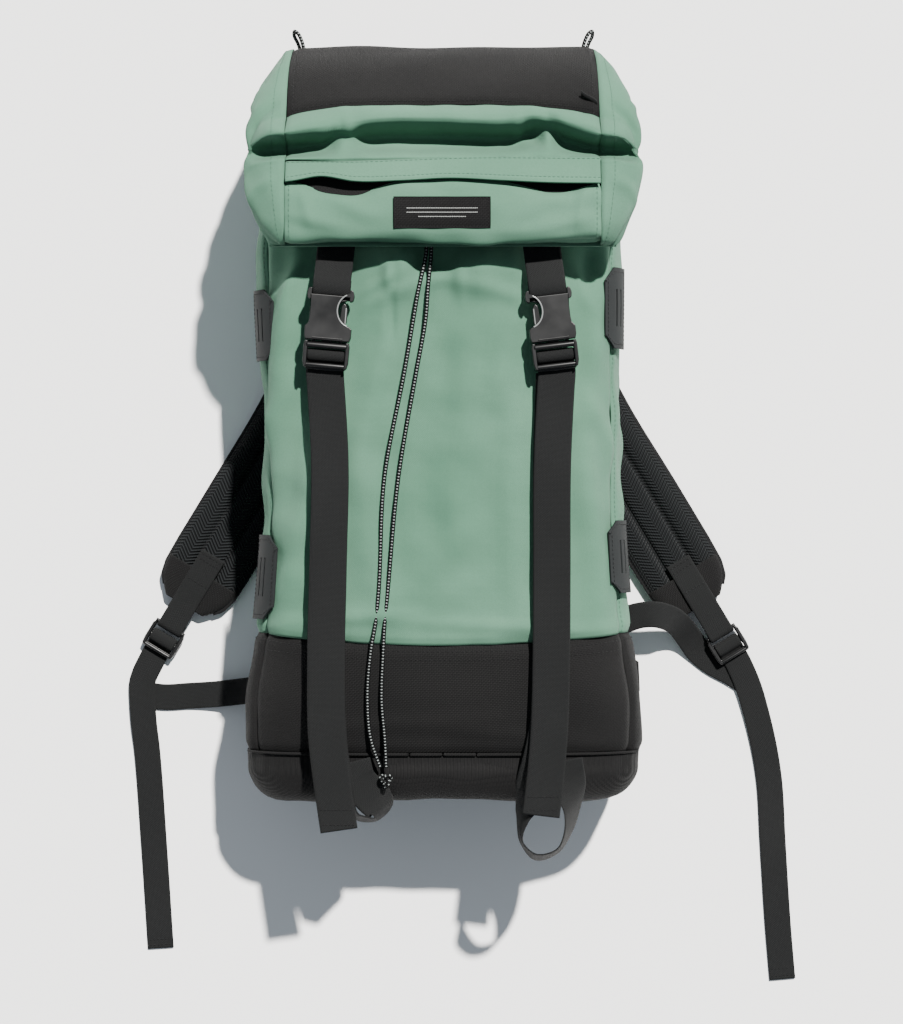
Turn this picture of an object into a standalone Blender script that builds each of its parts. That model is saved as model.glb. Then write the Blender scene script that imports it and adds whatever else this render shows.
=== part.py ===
"""Daypack lying on its back: +X to the right as its front is seen, +Y to the top of the pack, +Z out of the front."""
import bmesh
import bpy
import math
import mathutils
import numpy as np

mm = 0.001

# Overall sizes of the bag, in metres
frontHeight = 0.1430
backHeight = 0.0135
clothThick = 0.9 * mm
seamGap = 0.5 * mm
bootSeamY = -0.151
bottomSeamY = -0.2225
rimY = 0.186
bottomBulge = 0.030
halfWidths = ((-0.2225, 0.1385), (-0.19, 0.1375), (-0.151, 0.133), (-0.10, 0.1275), (-0.04, 0.1245),
              (0.05, 0.1260), (0.12, 0.1275), (0.16, 0.1260), (0.186, 0.1220))
frontHeights = ((-0.2225, 0.1355), (-0.19, 0.1400), (-0.151, 0.1422), (-0.10, 0.1428), (0.0, 0.1428),
                (0.08, 0.1405), (0.12, 0.1375), (0.15, 0.1345), (0.17, 0.1295), (0.186, 0.1215))
frontSeam = 0.310
backSeam = 0.098

# Lid, in the Y-Z plane
lidHingeY, lidHingeZ = 0.2320, 0.0445
lidHalf = 0.1062
lidBaseHalf = 0.1165
lidTop = ((0.2340, 0.0475), (0.2580, 0.0510), (0.2655, 0.0620), (0.2665, 0.0760), (0.2590, 0.0980),
          (0.2400, 0.1250), (0.2120, 0.1475), (0.2000, 0.1520), (0.1880, 0.1570), (0.1760, 0.1625),
          (0.1600, 0.1675), (0.1450, 0.1700), (0.1320, 0.1690), (0.1220, 0.1630), (0.1190, 0.1545))
lidBottom = ((0.1205, 0.1480), (0.1270, 0.1455), (0.1500, 0.1430), (0.1750, 0.1385), (0.1950, 0.1300),
             (0.2120, 0.1120), (0.2220, 0.0880), (0.2280, 0.0650), (0.2312, 0.0500))
yokeEnd, upperEnd = 0.558, 0.728
lidInside = (0, 0.170, 0.152)

# Webbing and buckles
webWide, webThick = 25.4 * mm, 1.2 * mm
strapWide, strapThick = 19.0 * mm, 1.1 * mm
cordRadius = 1.3 * mm
buckles = {"left": (-0.0782, 0.0560, -5.0), "right": (0.0748, 0.0560, 6.8)}
padWide, padThick = 58 * mm, 11 * mm


def fresh():
    for item in list(bpy.data.objects):
        bpy.data.objects.remove(item, do_unlink=True)
    parts = bpy.data.collections.new("daypack")
    cutters = bpy.data.collections.new("cutters")
    bpy.context.scene.collection.children.link(parts)
    bpy.context.scene.collection.children.link(cutters)
    cutters.hide_render = True
    return parts, cutters


partsGroup, cutterGroup = fresh()
colours = {
    "sage": (0.235, 0.400, 0.300), "black_cloth": (0.022, 0.022, 0.024), "webbing": (0.035, 0.036, 0.040),
    "hypalon": (0.065, 0.070, 0.075), "mesh": (0.016, 0.020, 0.022), "plastic": (0.020, 0.020, 0.022),
    "cord": (0.025, 0.025, 0.027), "metal": (0.35, 0.35, 0.36), "sheet": (0.15, 0.15, 0.16),
    "patch": (0.030, 0.030, 0.034),
}


def finish(name, colour):
    """A sub-part's own material: colour, roughness and metallic."""
    material = bpy.data.materials.new(name)
    material.use_nodes = True
    shader = material.node_tree.nodes["Principled BSDF"]
    shader.inputs["Base Color"].default_value = (*colours[colour], 1)
    shader.inputs["Roughness"].default_value = 0.35 if colour in ("plastic", "metal") else 0.85
    shader.inputs["Metallic"].default_value = 1.0 if colour == "metal" else 0.0
    return material


def add(name, verts, faces, colour, group=None):
    mesh = bpy.data.meshes.new(name)
    mesh.from_pydata([tuple(map(float, v)) for v in verts], [], faces)
    mesh.update()
    item = bpy.data.objects.new(name, mesh)
    (group or partsGroup).objects.link(item)
    if colour:
        mesh.materials.append(finish(name, colour))
    return item


def outward(item):
    bm = bmesh.new()
    bm.from_mesh(item.data)
    bmesh.ops.recalc_face_normals(bm, faces=bm.faces)
    if bm.calc_volume(signed=True) < 0:
        bmesh.ops.reverse_faces(bm, faces=bm.faces)
    bm.to_mesh(item.data)
    bm.free()
    return item


def smooth(table, at):
    """Cubic curve through the rows of a table, first column the place."""
    table = np.array(table, float)
    x, rows = table[:, 0], table[:, 1:]
    slopes = np.gradient(rows, x, axis=0)
    at = np.clip(np.atleast_1d(np.asarray(at, float)), x[0], x[-1])
    i = np.clip(np.searchsorted(x, at) - 1, 0, len(x) - 2)
    h = (x[i + 1] - x[i])[:, None]
    t = ((at - x[i])[:, None]) / h
    return ((2 * t**3 - 3 * t**2 + 1) * rows[i] + (t**3 - 2 * t**2 + t) * h * slopes[i]
            + (3 * t**2 - 2 * t**3) * rows[i + 1] + (t**3 - t**2) * h * slopes[i + 1])


def along(points, at):
    """Points at shares of the length of a smooth curve through the given ones."""
    points = np.array(points, float)
    knots = np.r_[0, np.cumsum(np.linalg.norm(np.diff(points, axis=0), axis=1))]
    dense = smooth(np.c_[knots, points], np.linspace(0, knots[-1], 400))
    run = np.r_[0, np.cumsum(np.linalg.norm(np.diff(dense, axis=0), axis=1))]
    at = np.asarray(at) * run[-1]
    return np.stack([np.interp(at, run, dense[:, k]) for k in range(points.shape[1])], 1)


def skin(name, verts, faces, colour, thick, inside):
    """Closed sheet whose cloth lies on the inner side of the given faces."""
    verts = np.array(verts, float)
    facing = 0
    for face in faces:
        a, b, c = verts[face[0]], verts[face[1]], verts[face[2]]
        facing += np.dot(np.cross(b - a, c - a), a - np.array(inside))
    item = add(name, verts, faces if facing > 0 else [tuple(f[::-1]) for f in faces], colour)
    solid = item.modifiers.new("thickness", "SOLIDIFY")
    solid.thickness, solid.offset = thick, -1
    return item


def sheet(name, grid, colour, thick=clothThick, ring=False, inside=(0, 0, 0.075)):
    """Closed sheet over a grid of points."""
    rows, cols = grid.shape[:2]
    wide = cols if ring else cols - 1
    faces = [(r * cols + c, r * cols + (c + 1) % cols, (r + 1) * cols + (c + 1) % cols, (r + 1) * cols + c)
             for r in range(rows - 1) for c in range(wide)]
    return skin(name, grid.reshape(-1, 3), faces, colour, thick, inside)


def sweep(name, path, sides, shape, colour, sizes=None):
    """Closed bar: a flat shape (across, up) carried along a path with its across direction given."""
    path, sides = np.array(path, float), np.array(sides, float)
    sides = np.broadcast_to(sides, path.shape)
    ahead = np.gradient(path, axis=0)
    ahead /= np.linalg.norm(ahead, axis=1)[:, None]
    across = sides - (sides * ahead).sum(1)[:, None] * ahead
    across /= np.linalg.norm(across, axis=1)[:, None]
    up = np.cross(across, ahead)
    shape = np.array(shape, float)
    sizes = np.ones((len(path), 2)) if sizes is None else np.array(sizes, float)
    rings = (path[:, None] + across[:, None] * (shape[None, :, :1] * sizes[:, None, :1])
             + up[:, None] * (shape[None, :, 1:] * sizes[:, None, 1:]))
    n, k = len(path), len(shape)
    faces = [(r * k + c, r * k + (c + 1) % k, (r + 1) * k + (c + 1) % k, (r + 1) * k + c)
             for r in range(n - 1) for c in range(k)]
    faces += [tuple(range(k))[::-1], tuple((n - 1) * k + c for c in range(k))]
    return outward(add(name, rings.reshape(-1, 3), faces, colour))


def flat(wide, thick):
    return ((-wide / 2, -thick / 2), (wide / 2, -thick / 2), (wide / 2, thick / 2), (-wide / 2, thick / 2))


def pillow(wide, thick, corner):
    x, z = wide / 2, thick / 2
    return ((-x + corner, -z), (x - corner, -z), (x, -z + corner * 0.8), (x, z - corner * 0.8), (x - corner, z),
            (-x + corner, z), (-x, z - corner * 0.8), (-x, -z + corner * 0.8))


def box(name, low, high, colour=None, group=None):
    """Rectangular block between two corners, from a unit cube."""
    low, high = mathutils.Vector(low), mathutils.Vector(high)
    bm = bmesh.new()
    bmesh.ops.create_cube(bm, size=1, matrix=mathutils.Matrix.LocRotScale((low + high) / 2, None, high - low))
    item = add(name, (), (), colour, group)
    bm.to_mesh(item.data)
    bm.free()
    return item


def cut(item, low, high):
    """Takes a box away from an item."""
    tool = box(f"cut_{item.name}_{len(item.modifiers)}", low, high, None, cutterGroup)
    tool.hide_render = True
    tool.display_type = "WIRE"
    change = item.modifiers.new("cut", "BOOLEAN")
    change.operation, change.solver, change.object = "DIFFERENCE", "EXACT", tool
    return tool


def place(items, at, angle):
    """Turns items built at the origin about Z and moves them, in their meshes."""
    turn = math.radians(angle)
    c, s = math.cos(turn), math.sin(turn)
    for item in items:
        for v in item.data.vertices:
            x, y, z = v.co
            v.co = (at[0] + c * x - s * y, at[1] + s * x + c * y, z)


def tube(name, points, radius, colour, count, ring=False, sides=2):
    data = bpy.data.curves.new(name, "CURVE")
    data.dimensions = "3D"
    data.bevel_depth, data.bevel_resolution, data.use_fill_caps = radius, sides, not ring
    line = data.splines.new("POLY")
    route = along(points, np.linspace(0, 1, count)) if not ring else np.array(points)
    line.points.add(len(route) - 1)
    for p, co in zip(line.points, route):
        p.co = (*co, 1)
    line.use_cyclic_u = ring
    item = bpy.data.objects.new(name, data)
    partsGroup.objects.link(item)
    data.materials.append(finish(name, colour))
    return item


def adopt(name, colour):
    """Names the primitive just added, gives it its material and moves it to the pack's collection."""
    item = bpy.context.object
    item.name = name
    for group in list(item.users_collection):
        group.objects.unlink(item)
    partsGroup.objects.link(item)
    item.data.materials.append(finish(name, colour))
    return item


# The bag: a rounded cross-section at each height, and panels cut out of it by share of its girth
def section(y, share):
    """Points of the outside at one height, by share of the girth from the middle of the back round the right side."""
    wide = float(smooth(halfWidths, y)[0, 0])
    top = float(smooth(frontHeights, y)[0, 0])
    mid, half = (top + backHeight) / 2, (top - backHeight) / 2
    t = np.radians(np.linspace(-90, 270, 721))
    power = np.where(np.sin(t) < 0, 2 / 5.0, 2 / 3.2)
    c, s = np.cos(t), np.sin(t)
    x = wide * np.sign(c) * np.abs(c) ** power
    z = mid + half * np.sign(s) * np.abs(s) ** power
    run = np.r_[0, np.cumsum(np.hypot(np.diff(x), np.diff(z)))]
    return np.stack([np.interp(np.asarray(share) * run[-1], run, x),
                     np.full(len(share), y), np.interp(np.asarray(share) * run[-1], run, z)], 1)


def panel(name, shares, low, high, rows, colour):
    """Bag cloth between two shares of the girth and two heights, each height a number or a function of the share."""
    shares = np.array(shares)
    low = low(shares) if callable(low) else np.full(len(shares), low)
    high = high(shares) if callable(high) else np.full(len(shares), high)
    grid = np.array([[section(low[j] + (high[j] - low[j]) * v, [u])[0] for j, u in enumerate(shares)]
                     for v in np.linspace(0, 1, rows)])
    return sheet(name, grid[::-1], colour)


def bootSeam(shares):
    return bootSeamY + 0.008 * np.clip(np.abs(np.asarray(shares) - 0.5) / (0.5 - frontSeam), 0, 1) ** 2


girthGap = seamGap / 0.66
frontShares = np.linspace(frontSeam + girthGap, 1 - frontSeam - girthGap, 15)
sideShares = np.linspace(backSeam + girthGap, frontSeam - girthGap, 10)
backShares = np.linspace(-backSeam + girthGap, backSeam - girthGap, 5)
backShares = np.where(backShares < 0, backShares + 1, backShares)
half = seamGap / 2
panel("body_front", frontShares, lambda u: bootSeam(u) + half, rimY - half, 12, "sage")
panel("body_side_right", sideShares, lambda u: bootSeam(u) + half, rimY - half, 10, "sage")
panel("body_side_left", 1 - sideShares[::-1], lambda u: bootSeam(u) + half, rimY - half, 10, "sage")
panel("base_front", frontShares, bottomSeamY + half, lambda u: bootSeam(u) - half, 4, "black_cloth")
panel("base_side_right", sideShares, bottomSeamY + half, lambda u: bootSeam(u) - half, 4, "black_cloth")
panel("base_side_left", 1 - sideShares[::-1], bottomSeamY + half, lambda u: bootSeam(u) - half, 4, "black_cloth")
panel("back_panel", backShares, bottomSeamY + half, rimY - half, 8, "black_cloth")

# Bottom of the bag, domed from its seam
ringShares = np.linspace(0, 1, 33)[:-1]
rim = section(bottomSeamY, ringShares)
middle = np.array([0.0, bottomSeamY, (rim[:, 2].max() + rim[:, 2].min()) / 2])
dome = []
for r in (1.0, 0.985, 0.95, 0.88, 0.72, 0.45, 0.16):
    ringPoints = middle + (rim - middle) * r
    ends = (rim[:, 0] / np.abs(rim[:, 0]).max() * r) ** 2
    ringPoints[:, 1] = bottomSeamY - half - (bottomBulge + 0.006 * ends) * math.sqrt(1 - r**8)
    dome.append(ringPoints)
rows, cols = len(dome), len(rim)
domeFaces = [(r * cols + c, r * cols + (c + 1) % cols, (r + 1) * cols + (c + 1) % cols, (r + 1) * cols + c)
             for r in range(rows - 1) for c in range(cols)]
domeFaces.append(tuple((rows - 1) * cols + c for c in range(cols)))
skin("base_bottom", np.array(dome).reshape(-1, 3), domeFaces, "black_cloth", clothThick, (0, -0.10, 0.075))

# Gathered throat of the bag with its corded hem
throatMiddle = np.array([0.0, 0.0, 0.066])
throatShares = np.linspace(0, 1, 41)[:-1]
rimRing = section(rimY, throatShares)
angle = np.arctan2(rimRing[:, 2] - 0.066, rimRing[:, 0])
hole = np.stack([0.029 * np.cos(angle), np.full(40, 0.2110), 0.066 + 0.020 * np.sin(angle)], 1)
collar = []
for t in np.linspace(0, 1, 6):
    ringPoints = rimRing * (1 - t) + hole * t
    ringPoints[:, 1] = rimY + 1.5 * mm + (0.0235) * math.sin(t * math.pi / 2)
    gather = 1 + 0.035 * math.sin(math.pi * t) * np.cos(20 * np.pi * 2 * throatShares)
    ringPoints[:, [0, 2]] = throatMiddle[[0, 2]] + (ringPoints[:, [0, 2]] - throatMiddle[[0, 2]]) * gather[:, None]
    collar.append(ringPoints)
sheet("collar", np.array(collar), "sage", ring=True, inside=(0, 0.150, 0.066))
hemAngle = np.radians(np.arange(0, 360, 12))
tube("collar_hem", np.stack([0.0295 * np.cos(hemAngle), np.full(30, 0.2140), 0.066 + 0.0205 * np.sin(hemAngle)], 1),
     2.2 * mm, "sage", 30, ring=True, sides=1)
bpy.ops.mesh.primitive_torus_add(major_radius=3.6 * mm, minor_radius=0.8 * mm, major_segments=16,
                                 minor_segments=6, location=(-0.009, 0.1995, 0.1180),
                                 rotation=(math.radians(-38), 0, 0))
adopt("cord_eyelet", "metal")

# Stiff sheet inside the back, and the pad that the bag lies on
box("frame_sheet", (-0.068, -0.205, 0.0152), (0.068, 0.165, 0.0164), "sheet")
padPath = np.array([(0, -0.215, 0.0064), (0, -0.209, 0.0064), (0, -0.10, 0.0064), (0, -0.010, 0.0064),
                    (0, 0.022, 0.0064), (0, 0.030, 0.0064)])
sweep("back_pad", padPath, (1, 0, 0), pillow(0.132, 12.8 * mm, 5 * mm), "mesh",
      [(0.90, 1), (1, 1), (1, 1), (0.93, 1), (0.78, 1), (0.66, 1)])
stripPath = np.array([(0, 0.1918, 0.0115), (0, 0.2060, 0.0148), (0, 0.2205, 0.0262), (0, 0.2302, 0.0395)])
sweep("lid_hinge_strip", stripPath, (1, 0, 0), flat(0.170, 1.2 * mm), "black_cloth")

# Drawcord: two strands from the eyelet, under the lid edge and down the front, to one knot
cordRoutes = {
    "left": ((-0.0100, 0.1965, 0.1245), (-0.0105, 0.1800, 0.1282), (-0.0110, 0.1500, 0.1365),
             (-0.0115, 0.1160, 0.1402), (-0.0170, 0.0890, 0.1415), (-0.0197, 0.0730, 0.1428),
             (-0.0258, 0.0370, 0.1445), (-0.0394, -0.0345, 0.1446), (-0.0441, -0.1197, 0.1444),
             (-0.0455, -0.1335, 0.1442), (-0.0489, -0.1540, 0.1440), (-0.0512, -0.1890, 0.1425),
             (-0.0490, -0.2140, 0.1410), (-0.0425, -0.2335, 0.1405)),
    "right": ((-0.0062, 0.1965, 0.1245), (-0.0070, 0.1800, 0.1282), (-0.0076, 0.1500, 0.1365),
              (-0.0083, 0.1120, 0.1405), (-0.0100, 0.0940, 0.1413), (-0.0115, 0.0730, 0.1428),
              (-0.0177, 0.0370, 0.1445), (-0.0299, -0.0345, 0.1446), (-0.0380, -0.1197, 0.1444),
              (-0.0394, -0.1335, 0.1442), (-0.0405, -0.1540, 0.1440), (-0.0416, -0.1890, 0.1425),
              (-0.0395, -0.2140, 0.1410), (-0.0385, -0.2335, 0.1405)),
}
for hand, route in cordRoutes.items():
    tube(f"drawcord_strand_{hand}", route, cordRadius, "cord", 78, sides=1)
bpy.ops.mesh.primitive_uv_sphere_add(segments=10, ring_count=7, radius=4.2 * mm, location=(-0.0388, -0.2422, 0.1412))
knot = adopt("drawcord_knot", "cord")
knot.data.transform(mathutils.Matrix.Diagonal((1.15, 1.2, 0.9, 1.0)))


# Lash tabs over the front seams, each bent with the bag and cut by two slots
def tab(name, y, long, right, slots):
    shares = np.linspace(frontSeam - 0.022, frontSeam + 0.020, 9)
    shares = shares if right else 1 - shares[::-1]
    ys = np.linspace(y + long / 2, y - long / 2, 13)
    grid = np.array([section(v, shares) for v in ys])
    centre = np.array([0, 0, (frontHeight + backHeight) / 2])
    away = grid - centre
    away[..., 1] = 0
    away /= np.linalg.norm(away, axis=2)[..., None]
    grid = grid + away * 2.3 * mm
    keep = np.ones((12, 8), bool)
    inner = 7 if right else 0
    keep[[0, 11], inner] = False
    for c in slots:
        keep[3:9, c] = False
    faces = [(r * 9 + c, (r + 1) * 9 + c, (r + 1) * 9 + c + 1, r * 9 + c + 1)
             for r in range(12) for c in range(8) if keep[r, c]]
    used = sorted({v for f in faces for v in f})
    index = {v: i for i, v in enumerate(used)}
    return skin(name, grid.reshape(-1, 3)[used], [tuple(index[v] for v in f) for f in faces], "hypalon", 1.6 * mm,
                (0, y, 0.075))


tab("lash_tab_upper_left", 0.0690, 0.049, False, (3, 5))
tab("lash_tab_upper_right", 0.0810, 0.056, True, (2, 4))
tab("lash_tab_lower_left", -0.1045, 0.058, False, (3, 5))
tab("lash_tab_lower_right", -0.0905, 0.050, True, (2, 4))


# Lid: panels over one closed outline, pillow-shaped gussets at its ends
def lidPanel(name, outline, start, end, rows, colour, halfWide=lidHalf, cols=5, lift=0.0):
    shares = np.linspace(start, end, rows)
    line = along(outline, shares)
    x = np.linspace(-halfWide, halfWide, cols)
    grid = np.empty((rows, cols, 3))
    grid[..., 0] = x
    grid[..., 1] = line[:, :1]
    grid[..., 2] = line[:, 1:]
    if lift:
        ahead = np.gradient(line, axis=0)
        ahead /= np.linalg.norm(ahead, axis=1)[:, None]
        grid[..., 1] += (ahead[:, 1] * lift)[:, None]
        grid[..., 2] += (-ahead[:, 0] * lift)[:, None]
    return sheet(name, grid, colour, inside=lidInside)


lidGap = 0.0016
flapEnd, zipEnd = upperEnd + 0.052, upperEnd + 0.060
lidPanel("lid_yoke", lidTop, 0.0, yokeEnd - lidGap, 10, "black_cloth")
lidPanel("lid_upper", lidTop, yokeEnd + lidGap, upperEnd - lidGap, 6, "sage")
lidPanel("zip_tape", lidTop, upperEnd + lidGap, zipEnd - lidGap, 3, "black_cloth", cols=2)
lidPanel("lid_front", lidTop, zipEnd + lidGap, 1.0, 9, "sage")
lidPanel("lid_flap", lidTop, upperEnd - 0.014, flapEnd, 4, "sage", halfWide=0.1035, lift=3.4 * mm)
lidPanel("lid_base", lidBottom, 0.0, 1.0, 10, "sage", halfWide=lidBaseHalf)
for hand, side in (("left", -1), ("right", 1)):
    shares = np.linspace(0.012, 0.985, 13)
    upper, lower = along(lidTop, shares), along(lidBottom[::-1], shares)
    t = np.linspace(0, 1, 7)
    gusset = np.empty((13, 7, 3))
    bulge = (0.027 if hand == "left" else 0.029) * np.sin(np.pi * shares) ** 0.62
    gusset[..., 0] = side * (lidHalf + 0.5 * mm + (lidBaseHalf - lidHalf) * t
                             + bulge[:, None] * np.sin(np.pi * t) ** 0.6)
    gusset[..., 1] = upper[:, :1] * (1 - t) + lower[:, :1] * t
    gusset[..., 2] = upper[:, 1:] * (1 - t) + lower[:, 1:] * t
    sheet(f"lid_gusset_{hand}", gusset, "sage", inside=lidInside)
zipShare = (upperEnd + zipEnd) / 2
zipLine = along(lidTop, [zipShare - 0.012, zipShare, zipShare + 0.012])
tilt = (zipLine[2] - zipLine[0]) / np.linalg.norm(zipLine[2] - zipLine[0])
over = np.array([tilt[1], -tilt[0]])
sliderAt = zipLine[1] + over * 1.2 * mm
sweep("zip_slider", [(x, *sliderAt) for x in (0.0840, 0.0862, 0.0905, 0.0935, 0.1000)], (0, *tilt),
      flat(6.4 * mm, 1.5 * mm), "metal", [(0.6, 0.8), (1, 1), (1, 1), (0.45, 0.6), (0.6, 0.6)])

# Sewn patch without lettering, and the cord loops of the lid
patchPlace = along(lidTop, np.linspace(0.840, 0.922, 4))
patchRows = []
for y, z in patchPlace:
    x = np.linspace(-0.0325, 0.0325, 5) - 0.0005
    patchRows.append(np.stack([x, np.full(5, y), np.full(5, z)], 1))
patchGrid = np.array(patchRows)
patchGrid[..., 2] += 1.4 * mm
patchGrid[..., 1] -= 0.5 * mm
sheet("lid_patch", patchGrid, "patch", 0.9 * mm, inside=lidInside)
for hand, side in (("left", -1), ("right", 1)):
    base = np.array([side * 0.0995, 0.2675, 0.0740])
    tip = (side * 0.0045, 0.0125, 0.003)
    loop = base + np.array([(-side * 0.003, -0.0008, 0.0035), (side * 0.0005, 0.006, 0.0045), tip,
                            (side * 0.0065, 0.0095, -0.001), (side * 0.004, 0.004, -0.004),
                            (side * 0.001, -0.0002, -0.0055)])
    tube(f"lid_cord_loop_{hand}", loop + np.array([0, 0.0018, 0]), 1.1 * mm, "cord", 12, sides=1)


# Buckles: everything is built along Y with the mouth of the buckle at the origin, then turned and placed
def buckle(hand, at, angle):
    x0, y0 = at
    body = box(f"buckle_body_{hand}", (-0.0155, 0.0, 0.1462), (0.0155, 0.0334, 0.1560), "plastic")
    tools = [cut(body, (-0.0131, 0.0232, 0.140), (0.0131, 0.0292, 0.160)),
             cut(body, (-0.0134, 0.0280, 0.1535), (0.0134, 0.0360, 0.161)),
             cut(body, (-0.0134, 0.0278, 0.139), (0.0134, 0.0362, 0.1492)),
             cut(body, (-0.0126, -0.002, 0.1480), (0.0126, 0.0215, 0.1542)),
             cut(body, (0.0090, 0.0052, 0.138), (0.0200, 0.0190, 0.162)),
             cut(body, (-0.0200, 0.0052, 0.138), (-0.0090, 0.0190, 0.162))]
    clip = box(f"clip_frame_{hand}", (-0.0152, -0.0185, 0.1482), (0.0152, 0.0170, 0.1552), "plastic")
    tools += [cut(clip, (-0.0131, -0.0085, 0.140), (0.0131, -0.0042, 0.160)),
              cut(clip, (-0.0131, -0.0155, 0.140), (0.0131, -0.0118, 0.161)),
              cut(clip, (-0.0134, -0.0162, 0.1522), (0.0134, -0.0038, 0.162)),
              cut(clip, (0.0035, -0.0006, 0.139), (0.0200, 0.0200, 0.163)),
              cut(clip, (-0.0200, -0.0006, 0.139), (-0.0035, 0.0200, 0.163)),
              cut(clip, (-0.0210, -0.0008, 0.1532), (0.0210, 0.0210, 0.164)),
              cut(clip, (-0.0212, -0.0010, 0.138), (0.0212, 0.0212, 0.1490))]
    arms = []
    for name, side in (("inner", 1), ("outer", -1)):
        path = [(side * 0.0090, -0.0002, 0.1510), (side * 0.0092, 0.0070, 0.1510), (side * 0.0100, 0.0085, 0.1510),
                (side * 0.0104, 0.0125, 0.1510), (side * 0.0094, 0.0178, 0.1510)]
        shape = [(1.0, 1.0), (1.0, 1.0), (1.85, 1.0), (1.55, 1.0), (0.9, 0.8)]
        arms.append(sweep(f"clip_arm_{name}_{hand}", path, (1, 0, 0), flat(2.4 * mm, 4.6 * mm), "plastic", shape))
    place([body, clip, *arms, *tools], (x0, y0), angle)


for hand, (x, y, angle) in buckles.items():
    buckle(hand, (x, y), angle)


def turned(hand, points):
    """Points in a buckle's own frame (along, height) put in the bag's frame, with their across direction."""
    x0, y0, angle = buckles[hand]
    turn = math.radians(angle)
    points = [(x0 - math.sin(turn) * y, y0 + math.cos(turn) * y, z) for y, z in points]
    return points, [(math.cos(turn), math.sin(turn), 0)] * len(points)


webPiece = flat(webWide, webThick)
wrap = ((-0.0200, 0.1456), (-0.0095, 0.1456), (-0.0077, 0.1462), (-0.0066, 0.1478), (-0.0063, 0.1500),
        (-0.0068, 0.1520), (-0.0084, 0.1532), (-0.0102, 0.1535), (-0.0120, 0.1530), (-0.0134, 0.1515),
        (-0.0139, 0.1495), (-0.0146, 0.1478), (-0.0162, 0.1473), (-0.0200, 0.1472))
tails = {
    "left": ((-0.0766, -0.0250, 0.1472), (-0.0780, -0.1000, 0.1472), (-0.0793, -0.1600, 0.1470),
             (-0.0785, -0.2150, 0.1462), (-0.0745, -0.2480, 0.1455), (-0.0705, -0.2760, 0.1450)),
    "right": ((0.0742, -0.0250, 0.1472), (0.0738, -0.1000, 0.1472), (0.0734, -0.1600, 0.1470),
              (0.0720, -0.2100, 0.1462), (0.0695, -0.2400, 0.1455), (0.0665, -0.2660, 0.1450)),
}
for hand in ("left", "right"):
    points, sides = turned(hand, wrap)
    start = points[-1]
    tail = along([start, *tails[hand]], np.linspace(0.035, 1, 15))
    sweep(f"front_tail_{hand}", [*points, *tail], [*sides, *[(1, 0, 0)] * len(tail)], webPiece, "webbing")
    lidWrap = ((0.0605, 0.1434), (0.0560, 0.1446), (0.0500, 0.1480), (0.0440, 0.1516), (0.0385, 0.1544),
               (0.0335, 0.1550), (0.0290, 0.1547), (0.0270, 0.1535), (0.0262, 0.1512), (0.0270, 0.1488),
               (0.0290, 0.1476), (0.0340, 0.1474), (0.0400, 0.1472))
    points, sides = turned(hand, lidWrap)
    sweep(f"lid_strap_{hand}", points, sides, webPiece, "webbing")

# Under-straps: flat up the front, and a slack loop sewn in the bottom seam
runs = {
    "left": (((-0.0800, 0.0340, 0.1440), (-0.0770, -0.0200, 0.1440), (-0.0780, -0.1000, 0.1440),
              (-0.0792, -0.1600, 0.1438), (-0.0785, -0.2050, 0.1428), (-0.0760, -0.2300, 0.1405),
              (-0.0715, -0.2480, 0.1360), (-0.0660, -0.2600, 0.1315), (-0.0570, -0.2690, 0.1300),
              (-0.0470, -0.2700, 0.1300), (-0.0420, -0.2620, 0.1315), (-0.0490, -0.2530, 0.1362),
              (-0.0585, -0.2420, 0.1376), (-0.0620, -0.2300, 0.1372)),
             ((1, 0, 0),) * 5 + ((1, 0, 0.1), (0.85, 0.1, 0.5), (0.45, 0.2, 0.9), (0, 0.3, 1), (0, 0.2, 1),
                                 (-0.6, 0, 0.75), (-0.95, -0.1, 0.25), (-1, -0.1, 0.05), (-1, 0, 0.02))),
    "right": (((0.0758, 0.0340, 0.1440), (0.0740, -0.0200, 0.1440), (0.0738, -0.1000, 0.1440),
               (0.0734, -0.1600, 0.1438), (0.0715, -0.2050, 0.1428), (0.0665, -0.2300, 0.1405),
               (0.0600, -0.2500, 0.1360), (0.0540, -0.2680, 0.1310), (0.0540, -0.2860, 0.1285),
               (0.0640, -0.2960, 0.1280), (0.0780, -0.2920, 0.1280), (0.0860, -0.2780, 0.1290),
               (0.0885, -0.2620, 0.1315), (0.0870, -0.2480, 0.1345), (0.0840, -0.2370, 0.1365),
               (0.0825, -0.2290, 0.1372)),
              ((1, 0, 0),) * 5 + ((1, 0, 0.1), (0.85, 0.1, 0.5), (0.35, 0.1, 0.95), (0, 0.2, 1), (0, 0.3, 1),
                                  (-0.1, 0.2, 1), (-0.3, 0, 1), (-0.5, 0, 0.85), (-0.8, 0, 0.45),
                                  (-1, 0, 0.12), (-1, 0, 0.02))),
}
for hand, (points, sides) in runs.items():
    both = along(np.c_[points, np.array(sides) * 0.02], np.linspace(0, 1, 40))
    sweep(f"front_strap_{hand}", both[:, :3], both[:, 3:], webPiece, "webbing")

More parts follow.
